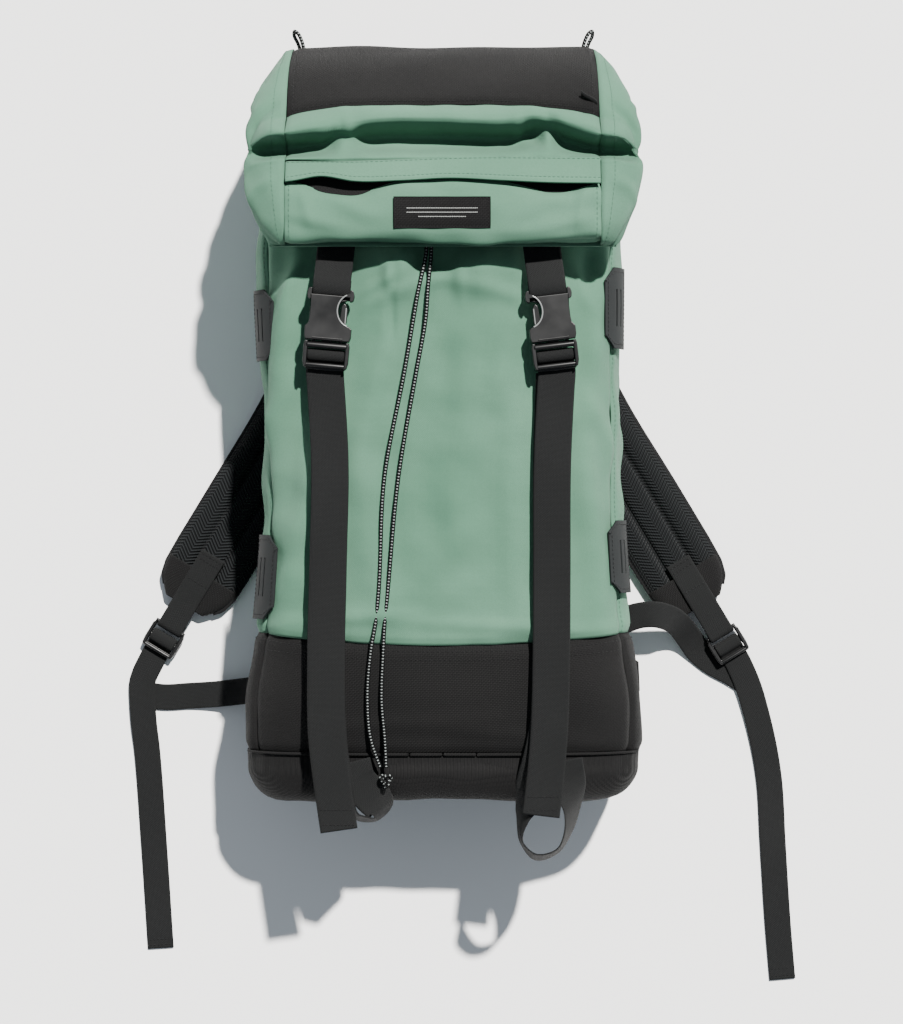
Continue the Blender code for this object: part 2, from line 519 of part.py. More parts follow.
# Harness
padRoutes = {
    "left": ((-0.0450, 0.1900), (-0.0560, 0.1350), (-0.0790, 0.0660), (-0.1080, 0.0060), (-0.1440, -0.0540),
             (-0.1800, -0.1130)),
    "right": ((0.0450, 0.1900), (0.0560, 0.1350), (0.0780, 0.0660), (0.1060, 0.0080), (0.1430, -0.0530),
              (0.1785, -0.1120)),
}
lockPlaces = {"left": (-0.2045, -0.1530), "right": (0.2075, -0.1570)}
lockAngles = {"left": 180 - 31.3, "right": 180 + 31.3}
padShape = pillow(padWide, padThick, 3.5 * mm)
for hand, route in padRoutes.items():
    line = along([(x, y, 0.0062) for x, y in route], (0, 0.02, 0.12, 0.26, 0.4, 0.55, 0.7, 0.85, 0.95, 0.985, 1))
    sweep(f"shoulder_pad_{hand}", line, np.cross(np.gradient(line, axis=0), (0, 0, 1)), padShape, "mesh",
          [(0.78, 0.55), (0.86, 0.70), (0.9, 1), (0.97, 1), (1, 1), (1, 1), (1, 1), (1, 1), (0.97, 1), (0.88, 0.95),
           (0.74, 0.8)])


def lock(hand):
    frame = box(f"ladder_lock_{hand}", (-0.0128, -0.0100, 0.0038), (0.0128, 0.0120, 0.0088), "plastic")
    tools = [cut(frame, (-0.0100, 0.0022, 0), (0.0100, 0.0092, 0.02)),
             cut(frame, (-0.0100, -0.0068, 0), (0.0100, -0.0022, 0.02)),
             cut(frame, (-0.0102, -0.0070, 0.0071), (0.0102, 0.0094, 0.021))]
    place([frame, *tools], lockPlaces[hand], lockAngles[hand] - 180)


def strapPoints(hand, points):
    """Points along and above a ladder lock, with +along toward the free end, in the bag's frame."""
    x0, y0 = lockPlaces[hand]
    turn = math.radians(lockAngles[hand] - 180)
    ahead, across = (math.sin(turn), -math.cos(turn)), (math.cos(turn), math.sin(turn), 0)
    return [(x0 + ahead[0] * s, y0 + ahead[1] * s, z) for s, z in points], [across] * len(points)


strapPiece = flat(strapWide, strapThick)
tabPath = ((-0.0720, 0.0127), (-0.0500, 0.0127), (-0.0440, 0.0124), (-0.0330, 0.0114), (-0.0220, 0.0106),
           (-0.0130, 0.0102), (-0.0098, 0.0099), (-0.0083, 0.0087), (-0.0077, 0.0064), (-0.0078, 0.0040),
           (-0.0088, 0.0027), (-0.0104, 0.0024), (-0.0160, 0.0024))
lockWrap = ((0.0125, 0.0012), (-0.0018, 0.0012), (-0.0036, 0.0018), (-0.0044, 0.0036), (-0.0044, 0.0058),
            (-0.0036, 0.0076), (-0.0018, 0.0081), (0.0016, 0.0081), (0.0034, 0.0074), (0.0042, 0.0056),
            (0.0052, 0.0036), (0.0070, 0.0029), (0.0125, 0.0028))
strapTails = {
    "left": ((-0.2190, -0.1800, 0.0029), (-0.2195, -0.2045, 0.0030), (-0.2165, -0.2345, 0.0018),
             (-0.2117, -0.3010, 0.0010), (-0.2066, -0.3785, 0.0010)),
    "right": ((0.2200, -0.1800, 0.0029), (0.2262, -0.1990, 0.0022), (0.2370, -0.2480, 0.0012),
              (0.2408, -0.3047, 0.0010), (0.2444, -0.3617, 0.0010), (0.2477, -0.4012, 0.0010)),
}
lowerStraps = {
    "left": (((-0.1370, -0.1885, 0.0200), (-0.1500, -0.1905, 0.0125), (-0.1650, -0.1925, 0.0060),
              (-0.1850, -0.1940, 0.0016), (-0.2050, -0.1950, 0.0012), (-0.2170, -0.1935, 0.0012)),
             ((0, -1, 0), (0, -1, 0), (0.1, -1, 0), (0.1, -1, 0), (0, -1, 0), (0, -1, 0))),
    "right": (((0.1405, -0.1650, 0.0210), (0.1385, -0.1540, 0.0215), (0.1400, -0.1430, 0.0235),
               (0.1480, -0.1350, 0.0235), (0.1610, -0.1330, 0.0200), (0.1710, -0.1385, 0.0130),
               (0.1790, -0.1490, 0.0055), (0.1870, -0.1620, 0.0014), (0.1950, -0.1745, 0.0012)),
              ((0, 0, 1), (0.1, 0.1, 1), (0.3, 0.5, 0.9), (0.2, 0.9, 0.5), (0, 1, 0.15), (0.5, 1, 0),
               (0.8, 0.7, 0), (0.9, 0.6, 0), (0.9, 0.6, 0))),
}
for hand in ("left", "right"):
    lock(hand)
    points, sides = strapPoints(hand, tabPath)
    sweep(f"shoulder_tab_{hand}", points, sides, strapPiece, "webbing")
    points, sides = strapPoints(hand, lockWrap)
    tail = along([points[-1], *strapTails[hand]], np.linspace(0.02, 1, 14))
    turn = np.gradient(tail, axis=0)
    tailSides = np.cross(turn, (0, 0, 1))
    sweep(f"strap_tail_{hand}", [*points, *tail], [*(-np.array(sides)), *tailSides], strapPiece, "webbing")
    points, sides = lowerStraps[hand]
    both = along(np.c_[points, np.array(sides) * 0.02], np.linspace(0, 1, 16))
    sweep(f"lower_strap_{hand}", both[:, :3], both[:, 3:], strapPiece, "webbing")
wings = {"left": ((-0.1240, -0.1885, 0.0225), (-0.1300, -0.1885, 0.0225), (-0.1355, -0.1885, 0.0235)),
         "right": ((0.1240, -0.1800, 0.0225), (0.1310, -0.1790, 0.0225), (0.1415, -0.1785, 0.0235))}
for hand, route in wings.items():
    sweep(f"lower_wing_{hand}", route, (0, 1, 0), flat(0.034, 2.0 * mm), "black_cloth", [(1.3, 1), (1, 1), (0.62, 1)])

# Each moving piece hangs from an empty on its joint's axis, and a joint on a moving piece from that piece's empty
def hang(name, at, nodes, under=None):
    empty = bpy.data.objects.new(name, None)
    partsGroup.objects.link(empty)
    empty.location = at
    if under:
        empty.parent = under
        empty.matrix_parent_inverse = mathutils.Matrix.Translation(under["place"]).inverted()
    empty["place"] = at
    for node in nodes:
        item = bpy.data.objects[node]
        item.parent = empty
        item.matrix_parent_inverse = mathutils.Matrix.Translation(at).inverted()
    return empty


lidAxis = hang("axis_lid_hinge", (0, lidHingeY, lidHingeZ),
               ["lid_yoke", "lid_upper", "lid_front", "lid_flap", "lid_base", "lid_gusset_left", "lid_gusset_right",
                "zip_tape", "lid_patch", "lid_cord_loop_left", "lid_cord_loop_right"])
hang("axis_zip_slide", (0.0920, *map(float, sliderAt)), ["zip_slider"], lidAxis)
for hand, (x, y, angle) in buckles.items():
    (root,), _ = turned(hand, [(0.0612, 0.1432)])
    hang(f"axis_lid_strap_swing_{hand}", root, [f"lid_strap_{hand}", f"buckle_body_{hand}"], lidAxis)
    clipAxis = hang(f"axis_clip_slide_{hand}", (x, y, 0.1510), [f"clip_frame_{hand}", f"front_tail_{hand}"])
    turn = math.radians(angle)
    for name, side in (("inner", 1), ("outer", -1)):
        at = (x + math.cos(turn) * side * 0.0090, y + math.sin(turn) * side * 0.0090, 0.1510)
        hang(f"axis_arm_flex_{name}_{hand}", at, [f"clip_arm_{name}_{hand}"], clipAxis)
    (px, py) = padRoutes[hand][0]
    padAxis = hang(f"axis_shoulder_swing_{hand}", (px, py, 0.0062),
                   [f"shoulder_pad_{hand}", f"shoulder_tab_{hand}", f"lower_strap_{hand}"])
    hang(f"axis_lock_tilt_{hand}", (*lockPlaces[hand], 0.0063), [f"ladder_lock_{hand}", f"strap_tail_{hand}"], padAxis)
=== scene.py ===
import bmesh
import bpy
import math
import numpy as np
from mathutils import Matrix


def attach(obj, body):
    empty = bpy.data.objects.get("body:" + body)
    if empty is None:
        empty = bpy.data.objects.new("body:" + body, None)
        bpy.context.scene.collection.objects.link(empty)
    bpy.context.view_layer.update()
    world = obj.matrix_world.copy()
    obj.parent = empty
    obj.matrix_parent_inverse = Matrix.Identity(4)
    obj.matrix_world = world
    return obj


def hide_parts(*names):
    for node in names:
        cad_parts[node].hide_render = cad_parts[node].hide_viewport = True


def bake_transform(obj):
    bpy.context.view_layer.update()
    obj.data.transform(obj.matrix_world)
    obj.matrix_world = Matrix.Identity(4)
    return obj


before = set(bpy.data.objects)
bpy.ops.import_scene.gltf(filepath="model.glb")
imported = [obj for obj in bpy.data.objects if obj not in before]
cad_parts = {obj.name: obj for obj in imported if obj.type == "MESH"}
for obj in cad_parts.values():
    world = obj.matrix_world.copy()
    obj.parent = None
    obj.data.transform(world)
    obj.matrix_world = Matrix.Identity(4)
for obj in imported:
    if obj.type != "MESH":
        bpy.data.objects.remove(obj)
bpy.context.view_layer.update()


# sizes of the bag in metres: heights of its seams, half widths and front heights along its length
bag = {
    "backZ": 0.0135, "rimY": 0.186, "bottomSeamY": -0.2255, "bootSeamY": -0.151, "frontSeam": 0.31,
    "backSeam": 0.098, "bottomBulge": 0.0335,
    "halfWidths": ((-0.2255, 0.14), (-0.19, 0.1388), (-0.151, 0.133), (-0.1, 0.1275), (-0.04, 0.1245),
                   (0.05, 0.126), (0.12, 0.1275), (0.16, 0.126), (0.186, 0.122)),
    "frontHeights": ((-0.2255, 0.1345), (-0.19, 0.14), (-0.151, 0.1422), (-0.1, 0.1428), (0.0, 0.1428),
                     (0.08, 0.1405), (0.12, 0.1375), (0.15, 0.1345), (0.17, 0.1295), (0.186, 0.1215)),
}


def smoothTable(table, at):
    # cubic curve through the rows of a table whose first column is the place
    table = np.array(table, float)
    x, rows = table[:, 0], table[:, 1:]
    slopes = np.gradient(rows, x, axis=0)
    at = np.clip(np.asarray(at, float), x[0], x[-1])
    i = np.clip(np.searchsorted(x, at) - 1, 0, len(x) - 2)
    h = (x[i + 1] - x[i])[..., None]
    t = (at - x[i])[..., None] / h
    return ((2 * t**3 - 3 * t**2 + 1) * rows[i] + (t**3 - 2 * t**2 + t) * h * slopes[i]
            + (3 * t**2 - 2 * t**3) * rows[i + 1] + (t**3 - t**2) * h * slopes[i + 1])


def runAlong(points):
    # length of a line of points from its start to each of them
    return np.r_[0, np.cumsum(np.linalg.norm(np.diff(points, axis=0), axis=1))]


def alongCurve(points, at):
    # points at shares of the length of a smooth curve through the given ones
    points = np.array(points, float)
    knots = runAlong(points)
    dense = smoothTable(np.c_[knots, points], np.linspace(0, knots[-1], 900))
    run = runAlong(dense)
    at = np.asarray(at) * run[-1]
    return np.stack([np.interp(at, run, dense[:, k]) for k in range(points.shape[1])], -1)


def unit(v):
    return v / np.maximum(np.linalg.norm(v, axis=-1, keepdims=True), 1e-12)


def gridNormals(grid):
    # cross product of the two directions of a grid of points
    du, dv = np.gradient(grid, axis=1), np.gradient(grid, axis=0)
    return unit(np.cross(du, dv))


def gridFaces(rows, cols, ringCols=False):
    # four corners of each cell between neighbouring rows and columns, the last column joined to the first on a ring
    wide = cols if ringCols else cols - 1
    r, c = np.meshgrid(np.arange(rows - 1), np.arange(wide), indexing="ij")
    n = (c + 1) % cols
    return np.stack([r * cols + c, r * cols + n, (r + 1) * cols + n, (r + 1) * cols + c], -1).reshape(-1, 4)


def makeMesh(name, verts, faces, uv=None, material=None):
    mesh = bpy.data.meshes.new(name)
    mesh.from_pydata(np.asarray(verts, float).reshape(-1, 3).tolist(), [], [list(map(int, f)) for f in faces])
    mesh.update()
    if uv is not None:
        layer = mesh.uv_layers.new(name="UVMap")
        loops = np.zeros(len(mesh.loops), np.int32)
        mesh.loops.foreach_get("vertex_index", loops)
        layer.data.foreach_set("uv", np.asarray(uv, np.float32).reshape(-1, 2)[loops].ravel())
    mesh.polygons.foreach_set("use_smooth", np.ones(len(mesh.polygons), bool))
    item = bpy.data.objects.new(name, mesh)
    bpy.context.scene.collection.objects.link(item)
    if material:
        mesh.materials.append(material)
    return item


def gridUv(grid):
    # lengths along both directions of a grid, in metres
    across = np.cumsum(np.linalg.norm(np.diff(grid, axis=1, prepend=grid[:, :1]), axis=2), axis=1)
    down = np.cumsum(np.linalg.norm(np.diff(grid, axis=0, prepend=grid[:1]), axis=2), axis=0)
    across = across - across[:, across.shape[1] // 2][:, None]
    return np.stack([across, down], -1)


def facingOut(grid, inside):
    # whether the normals of a grid point away from a place inside it, on the whole
    return float((gridNormals(grid) * (grid - np.array(inside))).sum()) > 0


def clothSheet(name, grid, material, inside, thick=0.001, uv=None):
    # sheet over a grid of points, with its thickness on the inner side
    if uv is None:
        uv = gridUv(grid)
    if not facingOut(grid, inside):
        grid, uv = grid[::-1], uv[::-1]
    item = makeMesh(name, grid, gridFaces(*grid.shape[:2]), uv, material)
    thicken(item, thick)
    return item


def ringMesh(name, rings, acrossUv, path, material):
    # rings of points joined one to the next and capped at both ends; UV holds the way round and the way along
    n, k = rings.shape[:2]
    uv = np.stack(np.broadcast_arrays(acrossUv, runAlong(path)[:, None]), -1)
    faces = gridFaces(n, k, True).tolist() + [list(range(k))[::-1], [(n - 1) * k + c for c in range(k)]]
    item = makeMesh(name, rings, faces, uv, material)
    fixNormals(item)
    return item


def sweepMesh(name, path, sides, shape, material, sizes=None):
    # flat closed shape (across, up) carried along a path whose across direction is given
    path, sides, shape = np.array(path, float), np.array(sides, float), np.array(shape, float)
    sides = np.broadcast_to(sides, path.shape)
    ahead = unit(np.gradient(path, axis=0))
    across = unit(sides - (sides * ahead).sum(1)[:, None] * ahead)
    up = np.cross(across, ahead)
    sizes = np.ones((len(path), 2)) if sizes is None else np.array(sizes, float)
    rings = (path[:, None] + across[:, None] * (shape[None, :, :1] * sizes[:, None, :1])
             + up[:, None] * (shape[None, :, 1:] * sizes[:, None, 1:]))
    return ringMesh(name, rings, shape[None, :, 0], path, material)


def fixNormals(item):
    # faces of a closed mesh turned to point outwards
    bm = bmesh.new()
    bm.from_mesh(item.data)
    bmesh.ops.recalc_face_normals(bm, faces=bm.faces)
    if bm.calc_volume(signed=True) < 0:
        bmesh.ops.reverse_faces(bm, faces=bm.faces)
    bm.to_mesh(item.data)
    bm.free()


def thicken(item, thick):
    # a wall on the inner side of a sheet
    wall = item.modifiers.new("thickness", "SOLIDIFY")
    wall.thickness, wall.offset = thick, -1


def settle(item, body, node=None):
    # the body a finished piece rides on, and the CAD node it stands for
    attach(item, body)
    if node:
        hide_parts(node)


def titled(name):
    return name.title().replace("_", "")


def newMaterial(name):
    material = bpy.data.materials.new(name)
    material.use_nodes = True
    return material, material.node_tree, material.node_tree.nodes["Principled BSDF"]


def newNode(tree, kind, **values):
    node = tree.nodes.new(f"ShaderNode{kind}")
    for label, value in values.items():
        node.inputs[label.replace("_", " ")].default_value = value
    return node


def mathNode(tree, kind, *values):
    node = newNode(tree, "Math")
    node.operation = kind
    for k, value in enumerate(values):
        if isinstance(value, (int, float)):
            node.inputs[k].default_value = value
        else:
            tree.links.new(value, node.inputs[k])
    return node.outputs[0]


def groupTree(name, inputs, outputs):
    tree = bpy.data.node_groups.new(name, "ShaderNodeTree")
    for label, value in inputs:
        kind = "NodeSocketVector" if value is None else "NodeSocketFloat"
        socket = tree.interface.new_socket(label, in_out="INPUT", socket_type=kind)
        if value is not None:
            socket.default_value = value
    for label in outputs:
        tree.interface.new_socket(label, in_out="OUTPUT", socket_type="NodeSocketFloat")
    return tree, tree.nodes.new("NodeGroupInput"), tree.nodes.new("NodeGroupOutput")


def makeWeaveGroup():
    # plain weave: threads over and under by the sign of a product of two waves; rows and columns per metre
    tree, given, out = groupTree(
        "weave", (("UV", None), ("Across per m", 1500.0), ("Along per m", 1500.0), ("Uneven", 0.25)),
        ("Height", "Thread"))
    noise = newNode(tree, "TexNoise", Scale=260, Detail=1)
    tree.links.new(given.outputs["UV"], noise.inputs["Vector"])
    shift = mathNode(tree, "MULTIPLY", noise.outputs["Fac"], given.outputs["Uneven"])
    waves = []
    for part, label in zip(splitUv(tree, given.outputs["UV"]), ("Across per m", "Along per m")):
        phase = mathNode(tree, "MULTIPLY", mathNode(tree, "MULTIPLY", part, given.outputs[label]), math.pi)
        waves.append(mathNode(tree, "SINE", mathNode(tree, "ADD", phase, shift)))
    over = mathNode(tree, "GREATER_THAN", mathNode(tree, "MULTIPLY", *waves), 0)
    acrossHigh, alongHigh = (mathNode(tree, "ABSOLUTE", wave) for wave in waves)
    under = mathNode(tree, "SUBTRACT", 1.0, over)
    height = mathNode(tree, "ADD", mathNode(tree, "MULTIPLY", over, acrossHigh),
                      mathNode(tree, "MULTIPLY", under, alongHigh))
    tree.links.new(height, out.inputs["Height"])
    tree.links.new(over, out.inputs["Thread"])
    return tree


def makeToneGroup():
    # slow blotches plus fine fibre noise, as two masks from 0 to 1
    tree, given, out = groupTree("tone", (("Vector", None), ("Broad", 9.0), ("Fine", 900.0)),
                                 ("Broad mask", "Fine mask"))
    for label, detail in (("Broad", 4), ("Fine", 2)):
        noise = newNode(tree, "TexNoise", Detail=detail)
        tree.links.new(given.outputs["Vector"], noise.inputs["Vector"])
        tree.links.new(given.outputs[label], noise.inputs["Scale"])
        tree.links.new(noise.outputs["Fac"], out.inputs[f"{label} mask"])
    return tree


def ownUv(tree):
    place = newNode(tree, "UVMap")
    place.uv_map = "UVMap"
    return place.outputs[0]


def splitUv(tree, vector):
    split = newNode(tree, "SeparateXYZ")
    tree.links.new(vector, split.inputs[0])
    return split.outputs[0], split.outputs[1]


weaveGroup, toneGroup = makeWeaveGroup(), makeToneGroup()


def placeGroup(tree, group, vector, **values):
    node = tree.nodes.new("ShaderNodeGroup")
    node.node_tree = group
    for label, value in values.items():
        node.inputs[label.replace("_", " ")].default_value = value
    tree.links.new(vector, node.inputs[0])
    return node.outputs


def placeTone(tree, **values):
    return placeGroup(tree, toneGroup, newNode(tree, "TexCoord").outputs["Object"], **values)


def mixColour(tree, mask, low, high):
    node = newNode(tree, "Mix")
    node.data_type = "RGBA"
    tree.links.new(mask, node.inputs["Factor"])
    for label, value in (("A", low), ("B", high)):
        if isinstance(value, tuple):
            node.inputs[label].default_value = (*value, 1)
        else:
            tree.links.new(value, node.inputs[label])
    return node.outputs["Result"]


def remap(tree, value, low, high):
    node = newNode(tree, "MapRange", From_Min=0.3, From_Max=0.7, To_Min=low, To_Max=high)
    tree.links.new(value, node.inputs["Value"])
    return node.outputs[0]


def addBump(tree, shader, height, **values):
    bump = newNode(tree, "Bump", **values)
    tree.links.new(height, bump.inputs["Height"])
    tree.links.new(bump.outputs[0], shader.inputs["Normal"])


def setShader(shader, **values):
    for label, value in values.items():
        shader.inputs[label.replace("_", " ")].default_value = value


def clothMaterial(name, dark, light, threads, rough=0.85, depth=0.00012, sheen=0.15, broad=9.0, uneven=0.9,
                  valleyShade=0.35, gloss=0.12):
    # blotched base colour, with painted shade in the low places of the weave; roughness follows the fibre noise
    material, tree, shader = newMaterial(name)
    weave = placeGroup(tree, weaveGroup, ownUv(tree), Across_per_m=threads[0], Along_per_m=threads[1],
                       Uneven=uneven)
    tone = placeTone(tree, Broad=broad)
    base = mixColour(tree, remap(tree, tone["Broad mask"], 0, 1), dark, light)
    # painted shade: the weave's low places are darkened, plus random fibre tone
    shade = mathNode(tree, "MULTIPLY", mathNode(tree, "SUBTRACT", 1.0, weave["Height"]), valleyShade)
    shade = mathNode(tree, "ADD", shade, remap(tree, tone["Fine mask"], -0.08, 0.12))
    colour = mixColour(tree, shade, base, tuple(c * 0.72 for c in dark))
    tree.links.new(colour, shader.inputs["Base Color"])
    tree.links.new(remap(tree, tone["Fine mask"], rough - 0.05, rough + 0.05), shader.inputs["Roughness"])
    addBump(tree, shader, weave["Height"], Distance=depth, Strength=0.9)
    setShader(shader, Sheen_Weight=sheen, Sheen_Roughness=0.5, Specular_IOR_Level=gloss)
    return material


def plasticMaterial(name, colour, rough=0.34, grain=0.00002, gloss=0.5):
    # moulded plastic or dull metal: worn lighter in blotches, with a fine grain
    material, tree, shader = newMaterial(name)
    tone = placeTone(tree, Broad=60.0, Fine=2600.0)
    worn = tuple(c * 1.6 + 0.002 for c in colour)
    tree.links.new(mixColour(tree, remap(tree, tone["Broad mask"], 0, 0.5), colour, worn),
                   shader.inputs["Base Color"])
    tree.links.new(remap(tree, tone["Broad mask"], rough - 0.05, rough + 0.09), shader.inputs["Roughness"])
    addBump(tree, shader, tone["Fine mask"], Distance=grain)
    setShader(shader, Specular_IOR_Level=gloss)
    return material


def threadCloth(name, dark, light, rough=0.6, sheen=0.03):
    return clothMaterial(name, dark, light, (3000, 3000), rough=rough, sheen=sheen)


sageCloth = clothMaterial("sageCloth", (0.064, 0.154, 0.1), (0.09, 0.194, 0.131), (1300, 1300), sheen=0.05)
blackCloth = clothMaterial("blackCloth", (0.0044, 0.0044, 0.0046), (0.008, 0.0077, 0.0077), (820, 820), rough=0.8,
                           depth=0.00025, sheen=0.02, valleyShade=0.6)
webbing = clothMaterial("webbing", (0.0068, 0.0072, 0.0074), (0.0105, 0.011, 0.0112), (1050, 1250), rough=0.72,
                        depth=0.00025, sheen=0.02, valleyShade=0.6)
bindingTape = clothMaterial("bindingTape", (0.0055, 0.0056, 0.006), (0.0085, 0.0086, 0.009), (900, 900), rough=0.8,
                            sheen=0.03)
tabSheet = plasticMaterial("tabSheet", (0.0085, 0.01, 0.0104), rough=0.72, grain=0.00008, gloss=0.2)
# pale plastic for thin lines along buckle edges: a painted highlight
paintedHighlightPlastic = plasticMaterial("paintedHighlightPlastic", (0.16, 0.165, 0.165), rough=0.25)
bucklePlastic = plasticMaterial("bucklePlastic", (0.004, 0.0041, 0.0043), rough=0.36, gloss=0.32)
darkPlastic = plasticMaterial("darkPlastic", (0.0045, 0.0045, 0.0048), rough=0.45)
darkMetal = plasticMaterial("darkMetal", (0.012, 0.012, 0.013), rough=0.3)
threadMaterial = threadCloth("thread", (0.0065, 0.0066, 0.007), (0.01, 0.01, 0.0105))
sageThread = threadCloth("sageThread", (0.05, 0.12, 0.08), (0.062, 0.14, 0.095))
patchThread = threadCloth("patchThread", (0.3, 0.31, 0.3), (0.38, 0.39, 0.38), sheen=0.0)
print("materials made")


stage = {"camera": (0.0058, -0.0598, 2.0), "lens": 96.15, "sun": (0.32, 0.66, 1.0), "sunStrength": 12.0,
         "sunAngle": 2.0, "skyStrength": 0.38, "floor": 4.0}


def makeStage():
    # camera straight above the bag, one soft sun, a pale sky and a plain floor just under it
    camera = bpy.data.objects.new("camera", bpy.data.cameras.new("camera"))
    camera.location = stage["camera"]
    camera.data.lens, camera.data.sensor_width = stage["lens"], 36
    bpy.context.scene.collection.objects.link(camera)
    bpy.context.scene.camera = camera
    sun = bpy.data.objects.new("sun", bpy.data.lights.new("sun", "SUN"))
    x, y, z = stage["sun"]
    sun.rotation_euler = (-math.atan2(y, math.hypot(x, z)), math.atan2(x, z), 0)
    sun.location = (x, y, z)
    sun.data.energy, sun.data.angle = stage["sunStrength"], math.radians(stage["sunAngle"])
    sun.data.color = (1.0, 0.975, 0.94)
    bpy.context.scene.collection.objects.link(sun)
    world = bpy.data.worlds.new("studio")
    bpy.context.scene.world = world
    world.use_nodes = True
    world.node_tree.nodes["Background"].inputs[0].default_value = (0.8, 0.9, 1.0, 1)
    world.node_tree.nodes["Background"].inputs[1].default_value = stage["skyStrength"]
    corners = np.array([(-1, -1, 0), (1, -1, 0), (1, 1, 0), (-1, 1, 0)]) * stage["floor"] - (0, 0, 0.0005)
    floor = makeMesh("floor", corners, [(0, 1, 2, 3)])
    pale, _, shader = newMaterial("paleFloor")
    setShader(shader, Base_Color=(0.93, 0.93, 0.93, 1), Roughness=0.9, Specular_IOR_Level=0.1)
    floor.data.materials.append(pale)


makeStage()
print("camera, light and floor made")

drawcord = {"radius": 0.0014, "around": 14, "flecks": 0.0042}
cordRoutes = {
    "left": ((-0.01, 0.1965, 0.1245), (-0.0105, 0.18, 0.1282), (-0.011, 0.15, 0.1375),
             (-0.0115, 0.116, 0.1425), (-0.017, 0.089, 0.144), (-0.0197, 0.073, 0.1442),
             (-0.0258, 0.037, 0.1445), (-0.0394, -0.0345, 0.1446), (-0.0441, -0.1197, 0.1444),
             (-0.0455, -0.1335, 0.1442), (-0.0489, -0.154, 0.144), (-0.0512, -0.189, 0.1425),
             (-0.049, -0.214, 0.141), (-0.0425, -0.2335, 0.1405)),
    "right": ((-0.0062, 0.1965, 0.1245), (-0.007, 0.18, 0.1282), (-0.0076, 0.15, 0.1365),
              (-0.0083, 0.112, 0.1425), (-0.01, 0.094, 0.1432), (-0.0115, 0.073, 0.144),
              (-0.0177, 0.037, 0.1445), (-0.0299, -0.0345, 0.1446), (-0.038, -0.1197, 0.1444),
              (-0.0394, -0.1335, 0.1442), (-0.0405, -0.154, 0.144), (-0.0416, -0.189, 0.1425),
              (-0.0395, -0.214, 0.141), (-0.0385, -0.2335, 0.1405)),
}


def roundTube(name, path, radius, around, material, radii=None):
    # closed tube: at every place of the path a ring, centre + r (cos a * side + sin a * up)
    path = np.array(path, float)
    ahead = unit(np.gradient(path, axis=0))
    first = np.array((0, 0, 1.0)) if abs(ahead[0][2]) < 0.9 else np.array((1.0, 0, 0))
    side = unit(np.cross(ahead, np.broadcast_to(first, ahead.shape)))
    up = np.cross(ahead, side)
    radii = np.full(len(path), radius) if radii is None else np.asarray(radii)
    turn = np.linspace(0, 2 * np.pi, around, endpoint=False)
    rings = path[:, None] + radii[:, None, None] * (side[:, None] * np.cos(turn)[None, :, None]
                                                    + up[:, None] * np.sin(turn)[None, :, None])
    return ringMesh(name, rings, turn[None] * radius, path, material)


def makeCordMaterial():
    # braid: product of two crossing waves; black, with pale flecks where the product is lowest
    material, tree, shader = newMaterial("braidedCord")
    across, along = splitUv(tree, ownUv(tree))
    around = mathNode(tree, "MULTIPLY", across, 1.0 / drawcord["radius"])
    run = mathNode(tree, "MULTIPLY", along, 2 * math.pi / drawcord["flecks"])
    waves = [mathNode(tree, "COSINE", mathNode(tree, kind, run, around)) for kind in ("ADD", "SUBTRACT")]
    fleck = mathNode(tree, "LESS_THAN", mathNode(tree, "MULTIPLY", *waves), -0.74)
    tree.links.new(mixColour(tree, fleck, (0.003, 0.0032, 0.0034), (0.2, 0.22, 0.215)),
                   shader.inputs["Base Color"])
    addBump(tree, shader, mathNode(tree, "MAXIMUM", *waves), Distance=0.0002)
    setShader(shader, Roughness=0.7, Specular_IOR_Level=0.12)
    return material


braidedCord = makeCordMaterial()


def makeDrawcords():
    # two strands side by side that swell and shrink in a fine sine wave, a small trefoil knot and two cut ends
    for hand, route in cordRoutes.items():
        path = alongCurve(route, np.linspace(0, 1, 400))
        # braid ripple: radius swells a little twice in each fleck length
        run = np.linspace(0, 0.44, len(path))
        radii = drawcord["radius"] * (0.96 + 0.05 * np.sin(run * 2 * np.pi / 0.0016))
        strand = roundTube(f"drawcordStrand{hand.title()}", path, drawcord["radius"], drawcord["around"],
                           braidedCord, radii)
        settle(strand, "pack", f"drawcord_strand_{hand}")
    turn = np.linspace(0, 1, 260)
    a = turn * 2 * np.pi
    # trefoil knot: x = sin a + 2 sin 2a, y = cos a - 2 cos 2a, z = -sin 3a, drawn small and flat
    trefoil = np.stack([np.sin(a) + 2 * np.sin(2 * a), np.cos(a) - 2 * np.cos(2 * a), -np.sin(3 * a)], 1)
    trefoil = trefoil * (0.00125, 0.0013, 0.00105) + (-0.0388, -0.2418, 0.1412)
    knot = roundTube("drawcordKnot", trefoil, 0.0012, 12, braidedCord)
    ends = roundTube("drawcordEnds", alongCurve(((-0.0392, -0.2436, 0.1412), (-0.0398, -0.2456, 0.141),
                                                 (-0.0388, -0.247, 0.1405)), np.linspace(0, 1, 20)), 0.0012, 12,
                     braidedCord)
    for piece in (knot, ends):
        settle(piece, "pack")
    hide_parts("drawcord_knot")


makeDrawcords()


